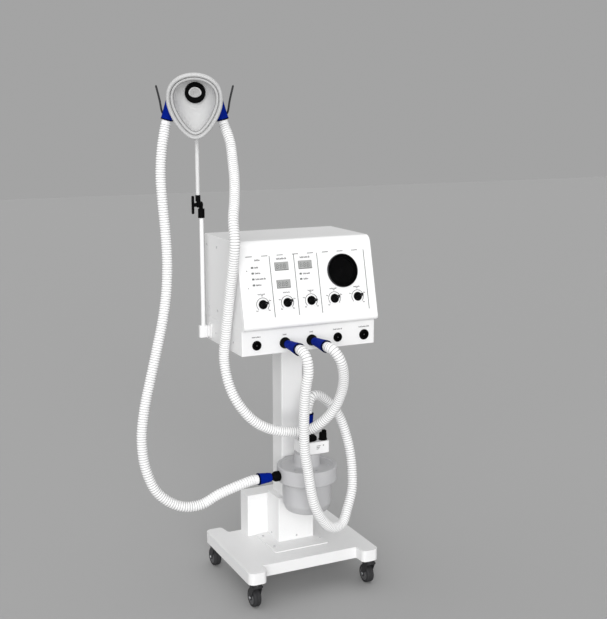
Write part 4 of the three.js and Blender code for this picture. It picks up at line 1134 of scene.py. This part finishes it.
def make_humidifier_ports():
    """Inlet on top of the control box, and outlet on the left of the head."""
    keep_node("humidifier_control", "bezel", 1.6, 4)
    z0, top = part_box("humidifier_control")[1].z / MM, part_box("humidifier_top_port")[1].z / MM
    inlet = [
        (8.5, z0 - 13), (11, z0 - 13), (11, z0 + 0.3), (23.4, z0 + 0.3, 0.5), (23.4, z0 + 8, 1.2),
        (20, z0 + 11.8, 2.0), (12.4, z0 + 13.6, 1.2), (11, z0 + 15.4, 1), (11, top - 0.5, 0.4),
        (8.7, top - 0.2, 0.4), (8.5, z0 - 13),
    ]
    port = centre("humidifier_top_port")
    axis = upright(port.x, port.y)
    shape = Shape().add(turned(inlet, 0.5, 64), "black", axis)
    add_ribs(shape, 30, 22.8, 23.9, 0.7, z0 + 1.2, z0 + 7.4, axis)
    shape.build("humidifier_inlet", "stand", "black_plastic", ["humidifier_top_port"])

    outlet = [
        (6, -13.5), (11, -13.5), (11, 1.0), (13.1, 1.0, 0.8), (13.2, 7, 2), (13.1, 13.8, 1.6),
        (8.2, 21.6, 0.6), (8.2, 37.6, 0.3), (6.2, 37.8, 0.3), (6, -13.5),
    ]
    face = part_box("humidifier_head")[0].x
    axis = aim((face, HUM.y, centre("humidifier_side_port").z), -RIGHT_X)
    shape = Shape().add(turned(outlet, 0.4, 56), "black", axis)
    for z in (4.5, 7.5, 10.5):
        shape.add(turned(band(12.8, 13.45, z - 0.7, z + 0.7, 0.2), 0.1, 56), "black", axis)
    shape.build("humidifier_outlet", "stand", "black_plastic", ["humidifier_side_port"])


def make_humidifier_valve():
    valve = pivot("valve_turn")
    at = upright(valve.x, valve.y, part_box("humidifier_control")[1].z)
    knob = [
        (0, 0.5), (11.4, 0.5, 0.4), (11.4, 2.8, 0.6), (10.0, 4.0, 0.4), (9.6, 6, 0.5),
        (9.2, 18.4, 1.2), (8.2, 19.8, 1.0), (0, 20),
    ]
    shape = Shape().add(turned(knob, 0.5, 56), "black", at)
    add_ribs(shape, 20, 8.9, 10.0, 0.7, 5, 18, at, bevel=0.2)
    shape.add(slab(rounded(-1, 8, -5.8, 5.8, 1.5, 3), 18.5, 25.8, 0.9, 3), "black", at)
    shape.build("humidifier_valve_cap", "valve", "black_plastic", ["humidifier_valve_knob"])


def make_humidifier_print():
    """Lamp and three printed lines on the front of the control box."""
    at = basis(RIGHT_X, UP, -BACK_Y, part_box("humidifier_control")[0])
    lamp = [(0, -0.1), (1.6, -0.1), (1.6, 0.6, 0.4), (0, 1.0)]
    shape = Shape().add(turned(lamp, 0.2, 20), "lamp", at @ upright(58 * MM, 22 * MM))
    for k in range(3):
        line = rounded(38, 50 - 2 * k, 21 - 4 * k, 22.4 - 4 * k, 0.5, 1)
        shape.add(slab(line, -0.1, 0.2), "ink_light", at)
    shape.build("humidifier_print", "stand", "black_plastic")


# ---- support arm
HUB_Z = 1275
HUB_BORE = 5.6
PRONG_R, PRONG_TIP = 2.5 * MM, 0.4 * MM
PRONGS = ((-1, 84, 97), (1, 79, 93))


def rod_size(node):
    """Radius, low end and high end of an upright rod, in millimetres."""
    low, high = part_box(node)
    return (high.x - low.x) / 2 / MM, low.z / MM, high.z / MM


def make_rods():
    """Both rods, each with a thinner pin that goes into the elbow."""
    r, z0, z1 = rod_size("lower_rod")
    lower = [(0, z0), (r, z0, 0.8), (r, z1 - 14.4, 0.6), (4.5, z1 - 14.2), (4.5, z1, 0.6), (0, z1)]
    r, z0, z1 = rod_size("upper_rod")
    upper = [(0, z0), (3.2, z0), (3.2, z0 + 9.8), (r, z0 + 10, 0.5), (r, z1, 0.8), (0, z1)]
    for node, profile, body, look, slot in (
        ("lower_rod", lower, "stand", "paint", "white_shell"),
        ("upper_rod", upper, "upper_arm", "pale", "pale_plastic"),
    ):
        middle = centre(node)
        shape = Shape().add(turned(profile, 0.5, 40), look, upright(middle.x, middle.y))
        shape.build(f"{node}_tube", body, slot, [node])


def make_clamp():
    hinge = pivot("elbow_tilt")
    x0 = (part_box("clamp_lever")[0].x - hinge.x) / MM
    side = basis(BACK_Y, UP, RIGHT_X, hinge)
    handle = rounded(-4.5, 4.5, -23, 23, 3.2, 5)
    shape = Shape().add(slab(handle, x0, x0 + 5.2, 1.4, 4), "black", side)
    for k in range(9):
        rib = rounded(-3.6, 3.6, -16.4 + 4 * k, -15.2 + 4 * k, 0.4, 1)
        shape.add(slab(rib, x0 - 0.35, x0 + 0.4, 0.15, 1), "black", side)
    boss = [(3.4, x0 + 4.8), (5, x0 + 4.8), (5, x0 + 13.7, 0.3), (3.4, x0 + 13.7, 0.2), (3.4, x0 + 4.8)]
    shape.add(turned(boss, 0.3, 28), "black", aim(hinge, RIGHT_X))
    shape.build("clamp_handle", "lever", "black_plastic", ["clamp_lever"])


def make_arm():
    keep_node("arm_bracket", "paint", 0.9)
    keep_node("elbow_base", "black", 0.7)
    keep_node("elbow_tongue", "black", 0.7)
    make_rods()
    make_clamp()
    screws = Shape()
    low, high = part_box("arm_bracket")
    at = (high.x - 5 * MM, high.y - 8 * MM, low.z + 8 * MM)
    add_screw(screws, SMALL_SCREW, at, -RIGHT_X, "steel")
    screws.build("arm_screws", "stand", "dark_metal")


def make_hanger():
    """Hub on the upper rod and the bent rod whose two prongs hold the Y-piece's hoses."""
    shape = Shape()
    at = upright(ROD.x, ROD.y)
    low, high = HUB_Z - 14, HUB_Z + 16
    collar = [
        (HUB_BORE, low), (9.2, low, 0.8), (10, low + 2, 0.8), (10, high - 2, 1.6), (8.4, high, 1),
        (HUB_BORE, high, 0.3), (HUB_BORE, low),
    ]
    cap = [(0, high - 3.8), (HUB_BORE, high - 3.8, 0.2), (HUB_BORE, high + 0.6, 0.4), (0, high + 0.9)]
    shape.add(turned(collar, 0.4, 40), "powder", at)
    shape.add(turned(cap, 0.3, 32), "powder", at)
    add_screw(shape, HUB_SCREW, head(0, -9.6, HUB_Z + 2), -FORWARD, "steel")
    for sign, foot, tip in PRONGS:
        bends = [
            (8, 0, -8), (38, -1, -10), (66, 1, -18), (foot - 4, 8, -27), (foot, 20, -22),
            (foot * 0.65 + tip * 0.35, 25, 5), (tip, 28, 42),
        ]
        line, length = spline([tuple(head(sign * r, f, HUB_Z + z)) for r, f, z in bends], 2 * MM)
        to_tip = length - np.linspace(0, length, len(line))
        sunk = np.maximum(PRONG_R - to_tip, 0)
        radii = np.sqrt(np.maximum(PRONG_R**2 - sunk**2, PRONG_TIP**2))
        shape.add(sweep(line, radii, 20), "powder")
    stub = [(0, 0), (5, 0), (5, 13, 0.8), (0, 13)]
    shape.add(turned(stub, 0.4, 28), "powder", aim(head(0, 0, HUB_Z), FORWARD))
    shape.build("hanger_fork", "upper_arm", "dark_metal", ["hose_hanger"])


# ---- Y-piece
PORT_UP = 18.5
SOCKET_BACK = 36
LEG_R, LEG_BORE = 10.5 * MM, 8.6 * MM
BEAD_R, BEAD_AT, BEAD_HALF = 11.3 * MM, 15 * MM, 1.6 * MM
LEG_FROM = 9 * MM


def make_wye():
    """Socket on the mask port's axis and the two bored legs that turn down to the hoses."""
    port_axis = mask_point(0, PORT_UP, 0)
    to_plane = (port_axis - head(0, WYE_F, WYE_Z)).dot(MASK_N)
    middle = port_axis - MASK_N * to_plane
    end = to_plane / MM - SOCKET_BACK
    body = [
        (12.8, -10), (12.8, end, 0.3), (15.4, end, 0.6), (16, end - 1, 0.5), (16, end - 9, 0.3),
        (17.2, end - 9.6, 0.3), (17.2, end - 12, 0.3), (16, end - 12.6, 0.3), (16, -11, 3),
        (12, -14, 2), (0.01, -14), (0.01, -10.2), (12.8, -10),
    ]
    disc = [
        (0, end - 4), (12.9, end - 4), (12.9, end - 2.6, 0.4), (6, end - 2.2), (5, end - 3), (0, end - 3),
    ]
    shape = Shape()
    shape.add(turned(body, 0.5, 56), "pale", aim(middle, MASK_N))
    shape.add(turned(disc, 0.4, 48), "bowl", aim(middle, MASK_N))
    for side in (-1, 1):
        leg_end, down, _ = wye_leg(side)
        shoulder = [head(side * 26, WYE_F, WYE_Z + 3), head(side * 44, WYE_F, WYE_Z - 8)]
        points = [middle, *shoulder, leg_end - down * 18 * MM, leg_end]
        line, length = spline([tuple(p) for p in points], 2.5 * MM)
        along = np.linspace(0, length, len(line))
        outer = np.where(np.abs(length - along - BEAD_AT) < BEAD_HALF, BEAD_R, LEG_R)
        kept = along > LEG_FROM
        shape.add(sweep(line[kept], outer[kept], 36, np.full(kept.sum(), LEG_BORE)), "pale")
    shape.build("wye_body", "upper_arm", "pale_plastic", ["wye_piece"])


# ---- face mask
EGG_SIDES = 96
EGG_W, EGG_H, EGG_TAPER = 66, 81.5, 0.28
EGG_DOWN = 1.5
PORT_HOLE = 25.6
BOWL_INSET, BOWL_DEPTH, BOWL_WALL = 9, 50, 2.5
OPENING = (15.8, 12.9, 3.4)
OPENING_RIM = (17.4, 17.4, 0)
OPENING_FRONT, OPENING_BACK = -34.9, -35.7


def egg(angle, grow=0.0):
    """Rim of the mask: blunt end up, narrow end down, in millimetres."""
    w = EGG_W * (1 + EGG_TAPER * math.cos(angle))
    return (w + grow) * math.sin(angle), (EGG_H + grow) * math.cos(angle) - EGG_DOWN


def rim_ring(grow, n):
    return ring_of(lambda a: mask_point(*egg(a, grow), n), EGG_SIDES)


def dome_ring(share, depth, offset):
    """Ring that lies a share of the way from the rim to the port's hole."""

    def place(a):
        u, v = egg(a, -BOWL_INSET - offset)
        pu, pv = PORT_HOLE * math.sin(a), PORT_UP + PORT_HOLE * math.cos(a)
        return mask_point(u + (pu - u) * share, v + (pv - v) * share, depth)

    return ring_of(place, EGG_SIDES)


def dome(offset, steps=10):
    """Rings from the rim to the port along a smooth bowl, offset inside its outer face."""
    rings = []
    for k in range(steps + 1):
        turn = k / steps * math.pi / 2
        depth = offset - BOWL_DEPTH * math.sin(turn) ** 0.72 if k else 0
        rings.append(dome_ring(1 - math.cos(turn), min(0, depth), offset))
    return rings


def port_ring(size, n):
    """Oval about the port from its half width, half height and rise."""
    half_width, half_height, rise = size

    def place(a):
        return mask_point(half_width * math.sin(a), PORT_UP + rise + half_height * math.cos(a), n)

    return ring_of(place, EGG_SIDES)


def make_mask_bowl():
    lip = [rim_ring(grow, n) for grow, n in ((-4.4, -0.2), (-3.8, -1.2), (-4.4, -2.3), (-8.4, -2.6))]
    shape = Shape().add(skin([*lip, *dome(0)[1:], *reversed(dome(BOWL_WALL))]), "bowl")
    shape.build("mask_bowl", "mask", "pale_plastic", ["mask_shell"], angle=50)


def make_mask_rim():
    """Section in (offset from the rim, height): a full outer roll, a soft inner lip and a groove."""
    turns = [math.radians(196 - 222 * k / 13) for k in range(14)]
    roll = [(-4.9 + 5.1 * math.cos(a), 8.6 + 7.4 * math.sin(a)) for a in turns]
    under = [(-0.6, 3.4), (-2.6, 0.9), (-6.0, 0.5), (-10.5, 0.5), (-15.0, 1.2), (-18.4, 2.8)]
    lip = [(-18.8, 4.4), (-17.6, 7.0), (-16.2, 8.8), (-14.0, 9.6), (-12.0, 9.0)]
    groove = [(-11.2, 7.6), (-10.4, 6.0)]
    section = [*roll, *under, *lip, *groove]
    shape = Shape().add(skin([rim_ring(grow, n) for grow, n in section]), "silicone")
    # The lip's inner edge and the groove get a darker grey: painted shade for the shadow gaps there.
    lip_row, groove_row = len(roll + under) - 1, len(roll + under + lip)
    rows = (lip_row, lip_row + 1, groove_row, groove_row + 1)
    shape.relook("silicone_shade_line", [row * EGG_SIDES + i for row in rows for i in range(EGG_SIDES)])
    cushion = shape.build("mask_rim_pad", "mask", "soft_rubber", ["mask_cushion"], angle=80)


def make_mask_port():
    fitting = [
        (16.4, -56), (22.4, -56, 1.2), (24.7, -53.6, 1.4), (25, -46, 0.4), (25, -39, 1.4),
        (23.6, -35.4, 1.0), (18.0, -34.9, 1.2), (16.4, -35.1, 0.2), (16.4, -56),
    ]
    at = aim(mask_point(0, PORT_UP, 0), MASK_N, RIGHT)
    shape = Shape().add(turned(fitting, 0.6, 72, 5), "black", at)
    edge = [port_ring(OPENING_RIM, OPENING_FRONT), port_ring(OPENING, OPENING_FRONT)]
    edge += [port_ring(OPENING, OPENING_BACK), port_ring(OPENING_RIM, OPENING_BACK)]
    shape.add(skin(edge), "black")
    add_ribs(shape, 18, 24.4, 25.4, 0.8, -53, -47.5, at)
    shape.build("mask_fitting", "mask", "black_plastic", ["mask_port"])


# ---- build
for look, settings in LOOKS.items():
    make_material(look, *settings)
make_camera()
make_floor()
make_lights()
make_hoses()
make_cuffs()
make_ports()
make_housing()
make_housing_screws()
make_rating_plate()
make_panel_print()
make_lamps()
make_windows()
make_gauge_case()
make_gauge_needle()
make_gauge_lens()
make_knobs()
make_manifold_print()
make_stand()
make_casters()
make_humidifier_cap()
make_humidifier_jar()
make_humidifier_ports()
make_humidifier_valve()
make_humidifier_print()
make_arm()
make_hanger()
make_wye()
make_mask_bowl()
make_mask_rim()
make_mask_port()
